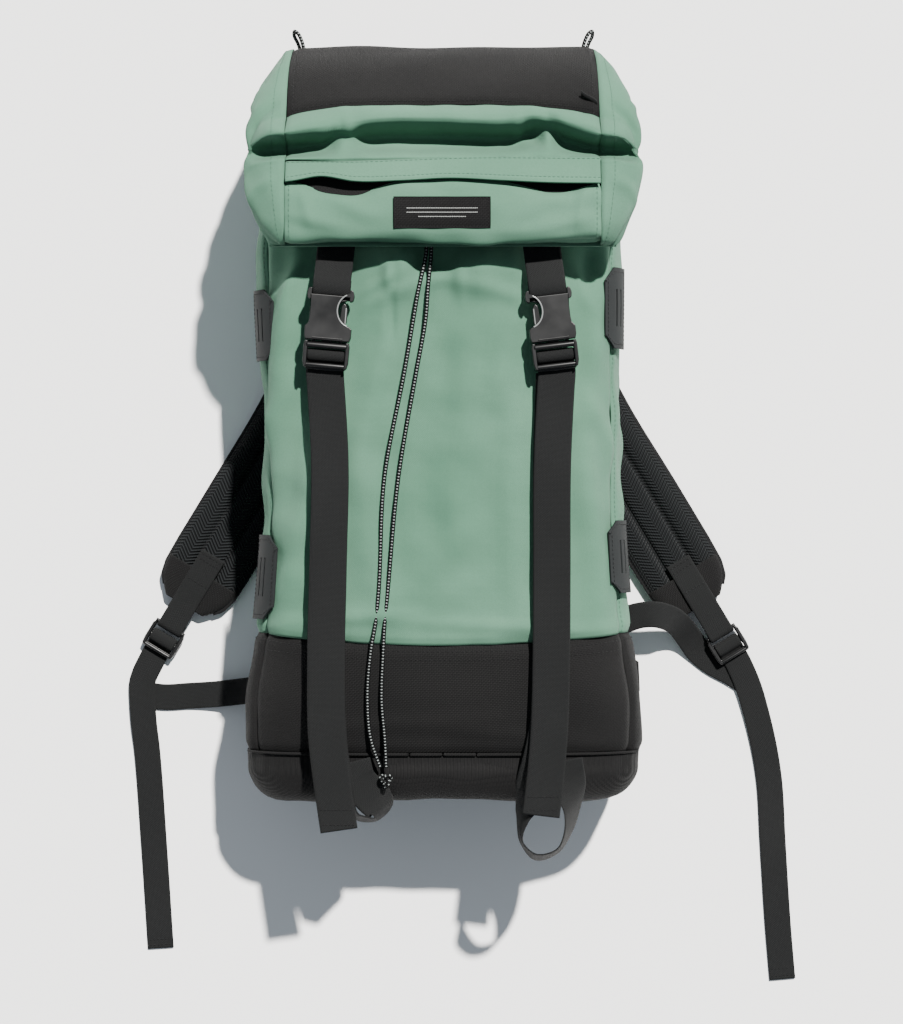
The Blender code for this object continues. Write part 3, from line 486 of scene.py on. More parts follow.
def makeShellTable():
    # outside of the bag by height and by share of its girth from the middle of the back round the right side:
    # x = w sgn(cos) |cos|^p, z = mid + half sgn(sin) |sin|^p, with p 2/3.2 in front and 2/5 behind
    heights = np.linspace(bag["bottomSeamY"], bag["rimY"], 420)
    wide = smoothTable(bag["halfWidths"], heights)[:, :1]
    top = smoothTable(bag["frontHeights"], heights)[:, :1]
    mid, half = (top + bag["backZ"]) / 2, (top - bag["backZ"]) / 2
    t = np.radians(np.linspace(-90, 270, 1441))[None]
    power = np.where(np.sin(t) < 0, 2 / 5.0, 2 / 3.2)
    x = wide * np.sign(np.cos(t)) * np.abs(np.cos(t)) ** power
    z = mid + half * np.sign(np.sin(t)) * np.abs(np.sin(t)) ** power
    run = np.concatenate([np.zeros((len(x), 1)), np.cumsum(np.hypot(np.diff(x), np.diff(z)), axis=1)], 1)
    girth = run[:, -1:]
    lift = np.arange(len(x))[:, None] * 2.0
    shares = np.linspace(0, 1, 1601)[None] + lift
    flatRun = (run / girth + lift).ravel()
    tx = np.interp(shares.ravel(), flatRun, x.ravel()).reshape(len(x), -1)
    tz = np.interp(shares.ravel(), flatRun, z.ravel()).reshape(len(x), -1)
    return heights, tx, tz


shellHeights, shellX, shellZ = makeShellTable()


def shellPoints(y, share):
    # bilinear reading of the table
    y, share = np.broadcast_arrays(np.asarray(y, float), np.mod(np.asarray(share, float), 1.0))
    fy = np.clip((y - shellHeights[0]) / (shellHeights[1] - shellHeights[0]), 0, len(shellHeights) - 1.001)
    fs = share * 1600
    i, j = fy.astype(int), np.minimum(fs.astype(int), 1599)
    a, b = fy - i, fs - j
    values = [(1 - a) * (1 - b) * t[i, j] + (1 - a) * b * t[i, j + 1] + a * (1 - b) * t[i + 1, j]
              + a * b * t[i + 1, j + 1] for t in (shellX, shellZ)]
    # the upper half leans a little to the left
    lean = -0.003 * np.clip((y + 0.05) / 0.16, 0, 1) ** 2 * (3 - 2 * np.clip((y + 0.05) / 0.16, 0, 1))
    return np.stack([values[0] + lean, y, values[1]], -1)


def foldField(x, y, folds):
    # soft ridges: each a Gaussian across a line at (x, y), turned by an angle, fading at its ends;
    # rows hold x, y, angle in degrees, half length, half width, height, bend
    total = np.zeros(np.broadcast(x, y).shape)
    for fx, fy, angle, half, wide, height, bend in folds:
        c, s = math.cos(math.radians(angle)), math.sin(math.radians(angle))
        u = (x - fx) * c + (y - fy) * s
        v = -(x - fx) * s + (y - fy) * c - bend * (1 - (u / half) ** 2)
        total += height * np.exp(-(v / wide) ** 2) * np.exp(-(np.abs(u / half)) ** 3)
    return total


def rippleField(x, y, seed, count, wave, height, angle=None, spread=180):
    # sum of plane waves of nearly one length and of scattered directions
    rng = np.random.default_rng(seed)
    total = np.zeros(np.broadcast(x, y).shape)
    base = 0 if angle is None else angle
    for _ in range(count):
        turn = math.radians(base + rng.uniform(-spread, spread) / 2)
        length = wave * rng.uniform(0.7, 1.5)
        total += np.sin(2 * np.pi * (x * math.cos(turn) + y * math.sin(turn)) / length + rng.uniform(0, 7))
    return total * height / math.sqrt(count)


def edgeRun(n, metres):
    # distance from the nearer end of a row of n points over a length
    at = np.linspace(0, metres, n)
    return np.minimum(at, metres - at)


def sewnPanel(name, grid, material, inside, relief=0.0, roll=0.0035, sink=0.0022, thick=0.0011):
    # sheet over a grid moved along its normals: relief, less a rolled edge that sinks by a Gaussian of the
    # distance to each of the four sewn edges
    rows, cols = grid.shape[:2]
    uv = gridUv(grid)
    normals = gridNormals(grid) * (1 if facingOut(grid, inside) else -1)
    high, wide = runAlong(grid[:, cols // 2])[-1], runAlong(grid[rows // 2])[-1]
    r, c = np.linspace(0, high, rows)[:, None], np.linspace(0, wide, cols)[None]
    lift = np.zeros((rows, cols)) + relief
    for d in (r, high - r, c, wide - c):
        lift = lift - sink * np.exp(-(d / roll) ** 2)
    moved = grid + normals * lift[..., None]
    return clothSheet(name, moved, material, inside, thick, uv), moved, normals


def aroundRim(grid, inset):
    # points of a grid once round, at an inset from its rim
    k = inset
    return np.concatenate([grid[k, k:-k], grid[k:-k, -k - 1], grid[-k - 1, k:-k][::-1], grid[k:-k, k][::-1]])


def stitchRow(name, points, normals, body, material=threadMaterial, pitch=0.0033, long=0.0024, radius=0.00027):
    # row of thread stitches: short six-sided tubes along a line, each an arch that dives into the cloth at its ends
    points, normals = np.array(points, float), unit(np.array(normals, float))
    run = runAlong(points)
    count = max(2, int(run[-1] / pitch))
    starts = (np.arange(count) + 0.2) * run[-1] / count
    s = np.linspace(0, 1, 5)
    at = np.clip(starts[:, None] + long * s[None], 0, run[-1])
    centre = np.stack([np.interp(at, run, points[:, k]) for k in range(3)], -1)
    up = unit(np.stack([np.interp(at, run, normals[:, k]) for k in range(3)], -1))
    ahead = unit(np.gradient(centre, axis=1))
    side = unit(np.cross(ahead, up))
    arch = (np.sin(np.pi * s) ** 0.6 * 1.35 - 0.75) * radius
    swell = radius * (0.72 + 0.28 * np.sin(np.pi * s))
    centre = centre + up * arch[None, :, None]
    a = np.linspace(0, 2 * np.pi, 6, endpoint=False)
    rings = (centre[:, :, None] + side[:, :, None] * (np.cos(a)[None, None, :, None] * swell[None, :, None, None])
             + up[:, :, None] * (np.sin(a)[None, None, :, None] * swell[None, :, None, None]))
    one = gridFaces(5, 6, True).tolist()
    faces = [[i + 30 * k for i in f] for k in range(count) for f in one]
    faces += [[30 * k + i for i in range(6)][::-1] for k in range(count)]
    faces += [[30 * k + 24 + i for i in range(6)] for k in range(count)]
    uv = np.stack([np.broadcast_to(a[None, None] * radius, rings.shape[:3]),
                   np.broadcast_to((at)[..., None], rings.shape[:3])], -1)
    item = makeMesh(name, rings, faces, uv, material)
    fixNormals(item)
    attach(item, body)


def joinPieces(name, items):
    # modifiers worked out, then all meshes made one
    graph = bpy.context.evaluated_depsgraph_get()
    whole = bmesh.new()
    materials = []
    whole.loops.layers.uv.new("UVMap")
    for item in items:
        evaluated = item.evaluated_get(graph)
        mesh = bpy.data.meshes.new_from_object(evaluated)
        start = len(whole.faces)
        slots = []
        for material in mesh.materials:
            if material not in materials:
                materials.append(material)
            slots.append(materials.index(material))
        whole.from_mesh(mesh)
        whole.faces.ensure_lookup_table()
        for face in whole.faces[start:]:
            face.material_index = slots[face.material_index] if slots else 0
        bpy.data.meshes.remove(mesh)
        bpy.data.objects.remove(item, do_unlink=True)
    mesh = bpy.data.meshes.new(name)
    whole.to_mesh(mesh)
    whole.free()
    for material in materials:
        mesh.materials.append(material)
    joined = bpy.data.objects.new(name, mesh)
    bpy.context.scene.collection.objects.link(joined)
    return joined


shell = {"seamHalf": 0.0001, "middle": (0, 0, 0.075)}
frontFolds = (
    # x, y, angle, half length, half width, height, bend
    (-0.105, 0.06, 82, 0.1, 0.01, 0.003, 0.004), (-0.045, 0.045, 78, 0.09, 0.009, 0.0017, -0.004),
    (-0.048, -0.06, 96, 0.1, 0.012, 0.0014, 0.005), (0.02, 0.01, 84, 0.13, 0.016, 0.0016, 0.006),
    (0.044, -0.05, 93, 0.1, 0.01, 0.0014, -0.003), (0.05, 0.06, 70, 0.07, 0.01, 0.0016, 0.003),
    (-0.1, -0.09, 80, 0.07, 0.01, 0.0018, 0.003), (0.1, -0.08, 97, 0.09, 0.01, 0.002, -0.003),
    (0.104, 0.04, 84, 0.08, 0.009, 0.0022, 0.003), (-0.03, 0.088, 20, 0.05, 0.006, 0.0012, 0.002),
    (0.03, 0.09, -14, 0.05, 0.006, 0.0013, 0.002), (-0.06, -0.132, 4, 0.05, 0.005, 0.001, 0.001),
    (0.03, -0.138, -3, 0.07, 0.005, 0.001, 0.001), (-0.11, 0.01, 60, 0.04, 0.007, 0.0014, 0.002),
    (0.112, -0.01, -60, 0.04, 0.007, 0.0014, 0.002), (-0.01, -0.1, 40, 0.05, 0.01, 0.001, 0.002),
    (-0.034, 0.078, 88, 0.02, 0.0035, -0.0016, 0.001), (-0.048, 0.092, 30, 0.018, 0.004, 0.0014, 0.001),
    (-0.036, 0.1, 96, 0.012, 0.004, 0.0016, 0.001), (0.012, 0.1, 90, 0.016, 0.005, 0.0014, 0.001),
    (-0.102, 0.095, 70, 0.02, 0.005, 0.0016, 0.002), (0.096, 0.095, 100, 0.016, 0.005, 0.0016, 0.002),
)

# how far the front swells (or sinks) just under the lid, by X
underLid = ((-0.13, 0.0), (-0.12, 0.0), (-0.104, -0.005), (-0.085, -0.002), (-0.065, 0.003), (-0.048, 0.003),
            (-0.036, 0.005), (-0.0255, 0.0078), (-0.0155, 0.0), (-0.004, -0.001), (0.006, 0.001), (0.02, 0.0058),
            (0.035, 0.0058), (0.055, 0.0032), (0.073, -0.001), (0.088, -0.0055), (0.104, -0.006), (0.12, 0.0),
            (0.13, 0.0))


def bootSeam(shares):
    # height of the seam between green cloth and boot: it rises by the square of the way to the sides
    return bag["bootSeamY"] + 0.008 * np.clip(np.abs(shares - 0.5) / (0.5 - bag["frontSeam"]), 0, 1) ** 2


def shellGrid(first, last, low, high, cols, rows):
    # part of the shell between two shares of its girth and two heights, rows running down
    shares = np.linspace(first, last, cols)[None]
    lowY = low(np.mod(shares, 1)) if callable(low) else low + 0 * shares
    highY = high(np.mod(shares, 1)) if callable(high) else high + 0 * shares
    v = np.linspace(0, 1, rows)[:, None]
    return shellPoints(highY + (lowY - highY) * v, shares)


def makeShell():
    # sewn panels of the shell: folds and ripples along its normals, the front pulled flat under the straps
    g = shell["seamHalf"] / 0.66
    front, back, h = bag["frontSeam"], bag["backSeam"], shell["seamHalf"]
    inside = shell["middle"]
    made = {}

    def boot(shares):
        return bootSeam(shares) - h

    def aboveBoot(shares):
        return bootSeam(shares) + h

    grid = shellGrid(front + g, 1 - front - g, aboveBoot, bag["rimY"] - h, 150, 170)
    relief = foldField(grid[..., 0], grid[..., 1], frontFolds) * 2.1 - 0.0014
    relief += smoothTable(underLid, grid[..., 0])[..., 0] * np.exp(-((grid[..., 1] - 0.11) / 0.018) ** 2)
    relief += rippleField(grid[..., 0], grid[..., 1], 3, 9, 0.038, 0.0008)
    relief += rippleField(grid[..., 0], grid[..., 1], 4, 9, 0.016, 0.00012)
    relief *= np.clip((0.15 - grid[..., 1]) / 0.03, 0, 1)
    # flat under the straps and buckles, so that they can swing
    flat = np.exp(-((np.abs(grid[..., 0]) - 0.0765) / 0.021) ** 4) * np.clip((grid[..., 1] - 0.015) / 0.03, 0, 1)
    relief = relief * (1 - flat) - 0.0026 * flat
    made["body_front"] = sewnPanel("frontPanel", grid, sageCloth, inside, relief)
    for hand in ("right", "left"):
        side = 1 if hand == "right" else -1
        first, last = (back + g, front - g) if side > 0 else (1 - front + g, 1 - back - g)
        grid = shellGrid(first, last, aboveBoot, bag["rimY"] - h, 90, 170)
        relief = rippleField(grid[..., 2], grid[..., 1], 11 + side, 9, 0.05, 0.0009) - 0.001
        relief += foldField(grid[..., 2], grid[..., 1], ((0.06, 0.07, 60, 0.06, 0.008, 0.0022, 0.004),
                                                         (0.075, -0.02, 110, 0.07, 0.009, 0.002, -0.004),
                                                         (0.06, -0.1, 80, 0.05, 0.008, 0.0018, 0.003)))
        made[f"body_side_{hand}"] = sewnPanel(f"sidePanel{hand.title()}", grid, sageCloth, inside, relief)
        grid = shellGrid(first, last, bag["bottomSeamY"] + h, boot, 90, 40)
        relief = rippleField(grid[..., 2], grid[..., 1], 21 + side, 7, 0.04, 0.0006) - 0.0008
        made[f"base_side_{hand}"] = sewnPanel(f"bootSide{hand.title()}", grid, blackCloth, inside, relief)
    grid = shellGrid(front + g, 1 - front - g, bag["bottomSeamY"] + h, boot, 150, 40)
    relief = rippleField(grid[..., 0], grid[..., 1], 5, 6, 0.05, 0.0005) - 0.0007
    relief += foldField(grid[..., 0], grid[..., 1], ((-0.02, -0.205, 3, 0.07, 0.006, 0.0012, 0.001),
                                                     (0.04, -0.212, -4, 0.05, 0.005, 0.001, 0.001)))
    made["base_front"] = sewnPanel("bootFront", grid, blackCloth, inside, relief)
    grid = shellGrid(-back + g, back - g, bag["bottomSeamY"] + h, bag["rimY"] - h, 60, 120)
    made["back_panel"] = sewnPanel("backPanel", grid, blackCloth, inside,
                                   np.full(grid.shape[:2], -0.0003), sink=0.0012)
    for node, (piece, _, _) in made.items():
        settle(piece, "pack", node)
    # stitching: two rows above the boot seam on the green, one below on the black
    _, moved, normals = made["base_front"]
    for k, name in ((2, "bootStitchUpper"), (5, "bootStitchLower")):
        stitchRow(name, moved[k], normals[k], "pack")
    for hand in ("left", "right"):
        _, moved, normals = made[f"base_side_{hand}"]
        stitchRow(f"bootStitchSide{hand.title()}", moved[2], normals[2], "pack")
        _, moved, normals = made[f"body_side_{hand}"]
        k = 2 if hand == "left" else -3
        stitchRow(f"sideSeamStitch{hand.title()}", moved[:, k], normals[:, k], "pack", sageThread)


makeShell()
print("shell made")


def makeBottom():
    # dome behind the bottom seam: rings shrink by r while they go out by (0.03 + 0.006 ends) sqrt(1 - r^8)
    shares = np.linspace(0, 1, 221)[:-1]
    rim = shellPoints(bag["bottomSeamY"], shares)
    middle = np.array([0.0, bag["bottomSeamY"], (rim[:, 2].max() + rim[:, 2].min()) / 2])
    r = np.concatenate([np.sin(np.linspace(0.5 * np.pi, 0.3 * np.pi, 22)) ** 0.5, np.linspace(0.88, 0.03, 22)])
    r = np.sort(r)[::-1][:, None]
    ends = (np.abs(rim[:, 0])[None] / np.abs(rim[:, 0]).max() * r) ** 2
    grid = middle + (rim - middle)[None] * r[..., None]
    grid[..., 1] = bag["bottomSeamY"] - 0.0001 - (bag["bottomBulge"] + 0.009 * ends) * np.sqrt(
        np.clip(1 - r**8, 0, 1))
    wave = rippleField(grid[..., 0], grid[..., 2], 8, 9, 0.045, 0.001)
    pinch = -0.002 * np.exp(-((1 - r) / 0.012) ** 2) * (r > 0)
    normals = gridNormals(np.concatenate([grid[:, -1:], grid, grid[:, :1]], 1))[:, 1:-1]
    if (normals * (grid - middle)).sum() < 0:
        normals = -normals
    fade = np.clip((1 - r) / 0.05, 0, 1) * np.clip(r / 0.2, 0, 1)
    grid = grid + normals * (wave * fade * 0.8 - 0.0008 + pinch)[..., None]
    rows, cols = grid.shape[:2]
    faces = gridFaces(rows, cols, True).tolist() + [[(rows - 1) * cols + c for c in range(cols)]]
    uv = np.stack([grid[..., 0], grid[..., 2]], -1)
    item = makeMesh("bottomPanel", grid, faces, uv, blackCloth)
    if not facingOut(grid, (0, -0.1, 0.075)):
        item.data.flip_normals()
    thicken(item, 0.0011)
    settle(item, "pack", "base_bottom")
    # welt: a thin piped ridge sewn into the bottom seam across the front, thinner at both ends
    path = shellPoints(bag["bottomSeamY"], np.linspace(0.29, 0.71, 180))
    path = path - unit(path - middle) * 0.0016
    radii = 0.0004 + 0.0008 * np.sin(np.linspace(0, np.pi, 180)) ** 0.3
    welt = roundTube("bottomWelt", path, 0.0012, 12, blackCloth, radii)
    settle(welt, "pack")


makeBottom()


collar = {"holeWide": 0.029, "holeTall": 0.02, "holeY": 0.211, "centreZ": 0.066, "gathers": (20, 43)}


def makeCollar():
    # gathered throat: rings from the rim to a small oval hole, with gathers that deepen between them
    shares = np.linspace(0, 1, 401)[:-1]
    rim = shellPoints(bag["rimY"], shares)
    rim = rim - unit(rim - (0, bag["rimY"], 0.068)) * 0.0016
    angle = np.arctan2(rim[:, 2] - collar["centreZ"], rim[:, 0])
    hole = np.stack([collar["holeWide"] * np.cos(angle), np.full(400, collar["holeY"]),
                     collar["centreZ"] + collar["holeTall"] * np.sin(angle)], 1)
    t = np.linspace(0, 1, 46)[:, None]
    grid = rim[None] * (1 - t[..., None]) + hole[None] * t[..., None]
    grid[..., 1] = bag["rimY"] - 0.0006 + 0.0253 * np.sin(t * np.pi / 2)
    rng = np.random.default_rng(4)
    sway = np.cumsum(rng.normal(0, 0.01, 400))
    sway -= np.linspace(sway[0], sway[-1], 400)
    few, many = (count * np.pi * 2 * shares[None] for count in collar["gathers"])
    gather = 1 + 0.03 * np.sin(np.pi * t) * np.cos(few + 6 * sway[None])
    gather += 0.016 * np.sin(np.pi * t) ** 2 * np.cos(many + 9 * sway[None])
    grid[..., 0] *= gather
    grid[..., 2] = collar["centreZ"] + (grid[..., 2] - collar["centreZ"]) * gather
    ring = np.concatenate([grid, grid[:, :1]], 1)
    piece = makeMesh("collar", grid, gridFaces(46, 400, True), gridUv(ring)[:, :-1], sageCloth)
    if not facingOut(ring, (0, 0.15, 0.066)):
        piece.data.flip_normals()
    thicken(piece, 0.0008)
    settle(piece, "pack", "collar")
    a = np.linspace(0, 2 * np.pi, 200)
    path = np.stack([0.0295 * np.cos(a), np.full(200, 0.214), collar["centreZ"] + 0.0205 * np.sin(a)], 1)
    hem = roundTube("collarHem", path, 0.0022, 14, sageCloth, 0.0021 + 0.0003 * np.sin(a * 31))
    settle(hem, "pack", "collar_hem")


makeCollar()
print("bottom and collar made")


lid = {
    "top": ((0.234, 0.0475), (0.258, 0.051), (0.2655, 0.062), (0.2665, 0.076), (0.259, 0.098),
            (0.24, 0.125), (0.212, 0.1475), (0.2, 0.152), (0.188, 0.157), (0.176, 0.1625),
            (0.16, 0.1675), (0.145, 0.17), (0.132, 0.169), (0.122, 0.163), (0.119, 0.1545)),
    "bottom": ((0.1205, 0.148), (0.127, 0.1455), (0.15, 0.143), (0.175, 0.1385), (0.195, 0.13),
               (0.212, 0.112), (0.222, 0.088), (0.228, 0.065), (0.2312, 0.05)),
    "half": 0.1062, "baseHalf": 0.1165, "yokeEnd": 0.562, "upperEnd": 0.735, "zipEnd": 0.79,
    "inside": (0, 0.17, 0.12), "bulge": 0.0235, "pinch": {"left": 0.645, "right": 0.655},
}


def lidHalfAt(share):
    # the lid is narrower at its top corners: half width grows with a smooth step over the yoke
    return lid["half"] - 0.0025 * np.clip(1 - share / 0.45, 0, 1) ** 1.5


def lidSurface(outline, share, x, lift=0.0):
    # outline point at each share, spread along X, and moved out of the outline by a lift
    share, x, lift = np.broadcast_arrays(share, x, lift)
    line = alongCurve(outline, np.linspace(0, 1, 801))
    ahead = unit(np.gradient(line, axis=0))
    spot = np.clip(share, 0, 1) * 800
    y, z = (np.interp(spot, np.arange(801), line[:, k]) for k in (0, 1))
    ay, az = (np.interp(spot, np.arange(801), ahead[:, k]) for k in (0, 1))
    return np.stack([x, y + az * lift, z - ay * lift], -1)


def lidGrid(start, end, rows, cols, half=None, lift=None):
    # shares may depend on x: start and end are functions of x or numbers
    u = np.linspace(-1, 1, cols)[None]
    v = np.linspace(0, 1, rows)[:, None]
    x0 = u * lid["half"]
    first = start(x0) if callable(start) else start + 0 * x0
    last = end(x0) if callable(end) else end + 0 * x0
    share = first + (last - first) * v
    x = u * (lidHalfAt(share) if half is None else half)
    return lidSurface(lid["top"], share, x, 0.0 if lift is None else lift(x, share, v)), x, share, v


def yokeEdge(x):
    # lower edge of the yoke: an arch that drops at both ends
    return lid["yokeEnd"] + 0.04 * np.abs(x / lid["half"]) ** 4 - 0.006


def sagUnderFlap(x):
    # the pocket cloth hangs away from the zip in two places and is tucked under the flap elsewhere
    return 0.046 * np.exp(-((x + 0.066) / 0.031) ** 2) + 0.04 * np.exp(-((x - 0.076) / 0.031) ** 2) - 0.012


# swell and hollow between the yoke and the flap: rows hold the place between the seams and the lift
hollow = ((0.0, 0.0), (0.06, 0.006), (0.14, 0.0105), (0.24, 0.0128), (0.32, 0.0118), (0.38, 0.0075), (0.43, -0.002),
          (0.48, -0.0118), (0.54, -0.0152), (0.62, -0.0152), (0.7, -0.0128), (0.77, -0.0082), (0.84, -0.003),
          (0.92, 0.0004), (1.0, 0.0))
hollowShift = ((-0.13, 0.13), (-0.106, 0.13), (-0.085, 0.11), (-0.066, 0.07), (-0.05, 0.02), (0.0, 0.0), (0.05, 0.0),
               (0.064, -0.09), (0.085, 0.03), (0.106, 0.15), (0.13, 0.17))


def hollowLift(x, share):
    # table of lifts, moved along by a table of shifts; two soft bridges carry less of it
    top = yokeEdge(x)
    v = (share - top) / (lid["upperEnd"] - top)
    moved = v - smoothTable(hollowShift, x)[..., 0] * np.sin(np.pi * np.clip(v, 0, 1)) ** 0.7
    reach = 1 - 0.8 * np.exp(-((x + 0.0675) / 0.011) ** 2) - 0.72 * np.exp(-((x - 0.069 - 0.004 * v) / 0.0065) ** 2)
    lift = smoothTable(hollow, np.clip(moved, 0, 1))[..., 0]
    return np.where(lift > 0, lift * (0.5 + 0.5 * reach), lift * reach) * (v > 0) * (v < 1)


def makeLidPanels():
    # yoke, hollowed upper panel, zip tape, front pocket cloth, flap, underside and pillow ends, sewn edge to edge
    inside = lid["inside"]
    grid, x, share, v = lidGrid(0.0, lambda x: yokeEdge(x) - 0.0004, 130, 150)
    relief = rippleField(x, share * 0.25, 31, 6, 0.07, 0.0006) + 0.001 * np.sin(np.pi * v) - 0.0004
    yoke, yokeAt, yokeUp = sewnPanel("lidYoke", grid, blackCloth, inside, relief, sink=0.0016)

    grid, x, share, v = lidGrid(lambda x: yokeEdge(x) + 0.0004, lid["upperEnd"] - 0.0004, 110, 220)
    grid[..., 2] += hollowLift(x, share)
    relief = foldField(x, share * 0.25, ((-0.062, 0.158, 70, 0.016, 0.005, 0.002, 0.002),
                                          (-0.08, 0.16, -50, 0.014, 0.004, 0.0016, 0.002),
                                          (0.054, 0.16, 65, 0.014, 0.005, 0.0018, 0.002)))
    relief += rippleField(x, share * 0.25, 35, 6, 0.022, 0.00035)
    upper, _, _ = sewnPanel("lidUpper", grid, sageCloth, inside, relief, sink=0.0012, roll=0.0025)

    grid, x, share, v = lidGrid(lid["upperEnd"] + 0.001, lid["zipEnd"] + 0.052, 24, 160, half=0.102,
                                lift=lambda x, share, v: -0.003 - 0.0022 * np.sin(np.pi * v) + 0 * x)
    tape, _, _ = sewnPanel("zipTape", grid, blackCloth, inside, sink=0.0)

    grid, x, share, v = lidGrid(lambda x: lid["zipEnd"] + sagUnderFlap(x), 0.998, 120, 220)
    sagEdge = np.exp(-(v / 0.1) ** 2)
    relief = -(0.0022 + 0.06 * np.clip(sagUnderFlap(x), 0, 1)) * sagEdge
    relief += foldField(x, share * 0.25, (
        (-0.08, 0.226, 12, 0.028, 0.005, 0.0016, 0.002), (0.07, 0.228, -10, 0.03, 0.005, 0.0016, 0.002),
        (-0.02, 0.24, 2, 0.05, 0.0035, 0.0012, 0.001), (0.045, 0.239, -3, 0.04, 0.0035, 0.0012, 0.001),
        (-0.092, 0.212, 80, 0.016, 0.004, 0.0014, 0.001), (0.094, 0.214, 100, 0.016, 0.004, 0.0014, 0.001),
        (-0.058, 0.216, 25, 0.02, 0.006, 0.0012, 0.002), (0.06, 0.216, -30, 0.02, 0.006, 0.0012, 0.002)))
    relief += rippleField(x, share * 0.25, 37, 7, 0.026, 0.00045)
    # the lower edge rolls over in slow waves
    relief += 0.0022 * np.sin(x * 44 + 0.6) * np.exp(-((v - 0.86) / 0.14) ** 2)
    relief += 0.0016 * np.exp(-((v - 0.7) / 0.12) ** 2) - 0.0022 * np.exp(-((v - 0.93) / 0.1) ** 2)
    front, frontAt, frontUp = sewnPanel("lidFront", grid, sageCloth, inside, relief, sink=0.0012, roll=0.0022)

    # flap over the zip: its free edge waves up and down and its middle lies close
    def flapTop(x):
        return lid["upperEnd"] - 0.01 + smoothTable(((-0.11, 0.01), (-0.065, 0.01), (-0.03, 0.004), (0.02, -0.004),
                                                      (0.11, -0.004)), x)[..., 0]

    def flapEdge(x):
        return smoothTable(((-0.11, 0.8), (-0.103, 0.798), (-0.0825, 0.786), (-0.06, 0.8), (-0.029, 0.796),
                            (0.006, 0.789), (0.041, 0.796), (0.075, 0.804), (0.11, 0.803)), x)[..., 0]

    def flapLift(x, v):
        wave = 0.0026 * np.exp(-((x + 0.068) / 0.026) ** 2) + 0.002 * np.exp(-((x - 0.076) / 0.026) ** 2)
        return 0.0012 + (0.0014 + wave) * v**1.5 - 0.0008 * np.exp(-(v / 0.05) ** 2)

    flaps = []
    for name, low, extra in (("flapOuter", 0.0, 0.0), ("flapHem", 0.78, 0.00075)):
        grid, x, share, v = lidGrid(lambda x: flapTop(x) + (flapEdge(x) - flapTop(x)) * low,
                                    flapEdge, 34 if low == 0 else 12, 220, half=0.1058,
                                    lift=lambda x, share, v: flapLift(x, low + (1 - low) * v) + extra)
        piece, at, up = sewnPanel(name, grid, sageCloth, inside, sink=0.0005, roll=0.0012)
        flaps.append((piece, at, up))
    flap = joinPieces("lidFlap", [f[0] for f in flaps])

    grid = lidSurface(lid["bottom"], np.linspace(0, 1, 90)[:, None],
                      np.linspace(-1, 1, 150)[None] * (lid["baseHalf"] + 0.001))
    calm = np.clip(edgeRun(150, 0.236) / 0.02, 0, 1)[None] * np.clip(edgeRun(90, 0.16) / 0.02, 0, 1)[:, None]
    base, _, _ = sewnPanel("lidBase", grid, sageCloth, inside, sink=0.0003, relief=calm * (
        rippleField(grid[..., 0], grid[..., 1], 40, 7, 0.05, 0.0007) - 0.0008))
    for piece, node, slotName in ((yoke, "lid_yoke", "black_cloth"), (upper, "lid_upper", "green_cloth"),
                                  (tape, "zip_tape", "black_cloth"), (front, "lid_front", "green_cloth"),
                                  (flap, "lid_flap", "green_cloth"), (base, "lid_base", "green_cloth")):
        settle(piece, "lid", node)
    stitchRow("flapStitch", flaps[0][1][4], flaps[0][2][4], "lid", sageThread)
    stitchRow("flapHemStitch", flaps[1][1][2], flaps[1][2][2], "lid", sageThread, pitch=0.003)
    stitchRow("yokeStitch", yokeAt[-4], yokeUp[-4], "lid")
    for hand, k in (("Left", 3), ("Right", -4)):
        stitchRow(f"frontEdgeStitch{hand}", frontAt[:, k], frontUp[:, k], "lid", sageThread)
        stitchRow(f"yokeEdgeStitch{hand}", yokeAt[:, k], yokeUp[:, k], "lid")

    for hand, side in (("left", -1), ("right", 1)):
        # pillow end: from the top outline to the bottom outline, bulging by sin(pi s)^a sin(pi t)^b
        s = np.linspace(0.002, 0.998, 170)[:, None]
        t = np.linspace(0, 1, 70)[None]
        upperLine = lidSurface(lid["top"], s[:, 0], 0 * s[:, 0])
        pulled = hollowLift(side * lid["half"] + 0 * s, s)
        lowerLine = lidSurface(lid["bottom"], 1 - s[:, 0], 0 * s[:, 0])
        bulge = lid["bulge"] * np.sin(np.pi * s**1.75) ** 0.75
        bulge = bulge * (1 - 0.08 * np.exp(-((s - lid["pinch"][hand]) / 0.03) ** 2))
        gusset = np.empty((170, 70, 3))
        start = lidHalfAt(s) + 0.0002
        gusset[..., 0] = side * (start + (lid["baseHalf"] - start) * t + bulge * np.sin(np.pi * t) ** 0.55)
        gusset[..., 1] = upperLine[:, 1:2] * (1 - t) + lowerLine[:, 1:2] * t
        gusset[..., 2] = upperLine[:, 2:] * (1 - t) + lowerLine[:, 2:] * t
        gusset[..., 2] += pulled * np.exp(-(t / 0.26) ** 2)
        relief = rippleField(s * 0.25, t * 0.09, 50 + side, 8, 0.04, 0.0009)
        relief += foldField(s * 0.25, t * 0.09, ((0.15, 0.02, 60, 0.03, 0.005, -0.0028, 0.003),
                                                 (0.165, 0.03, 95, 0.03, 0.005, -0.0024, -0.003),
                                                 (0.07, 0.03, 40, 0.04, 0.007, 0.0018, 0.003),
                                                 (0.12, 0.05, 120, 0.03, 0.006, 0.0018, 0.002),
                                                 (0.205, 0.022, 70, 0.026, 0.005, 0.0018, 0.003)))
        relief *= np.clip(np.minimum(t, 1 - t) / 0.08, 0, 1)
        piece, at, up = sewnPanel(f"lidGusset{hand.title()}", gusset, sageCloth, inside, relief, sink=0.0007,
                                  roll=0.003)
        settle(piece, "lid", f"lid_gusset_{hand}")
        stitchRow(f"gussetStitch{hand.title()}", at[:, 4], up[:, 4], "lid", sageThread)
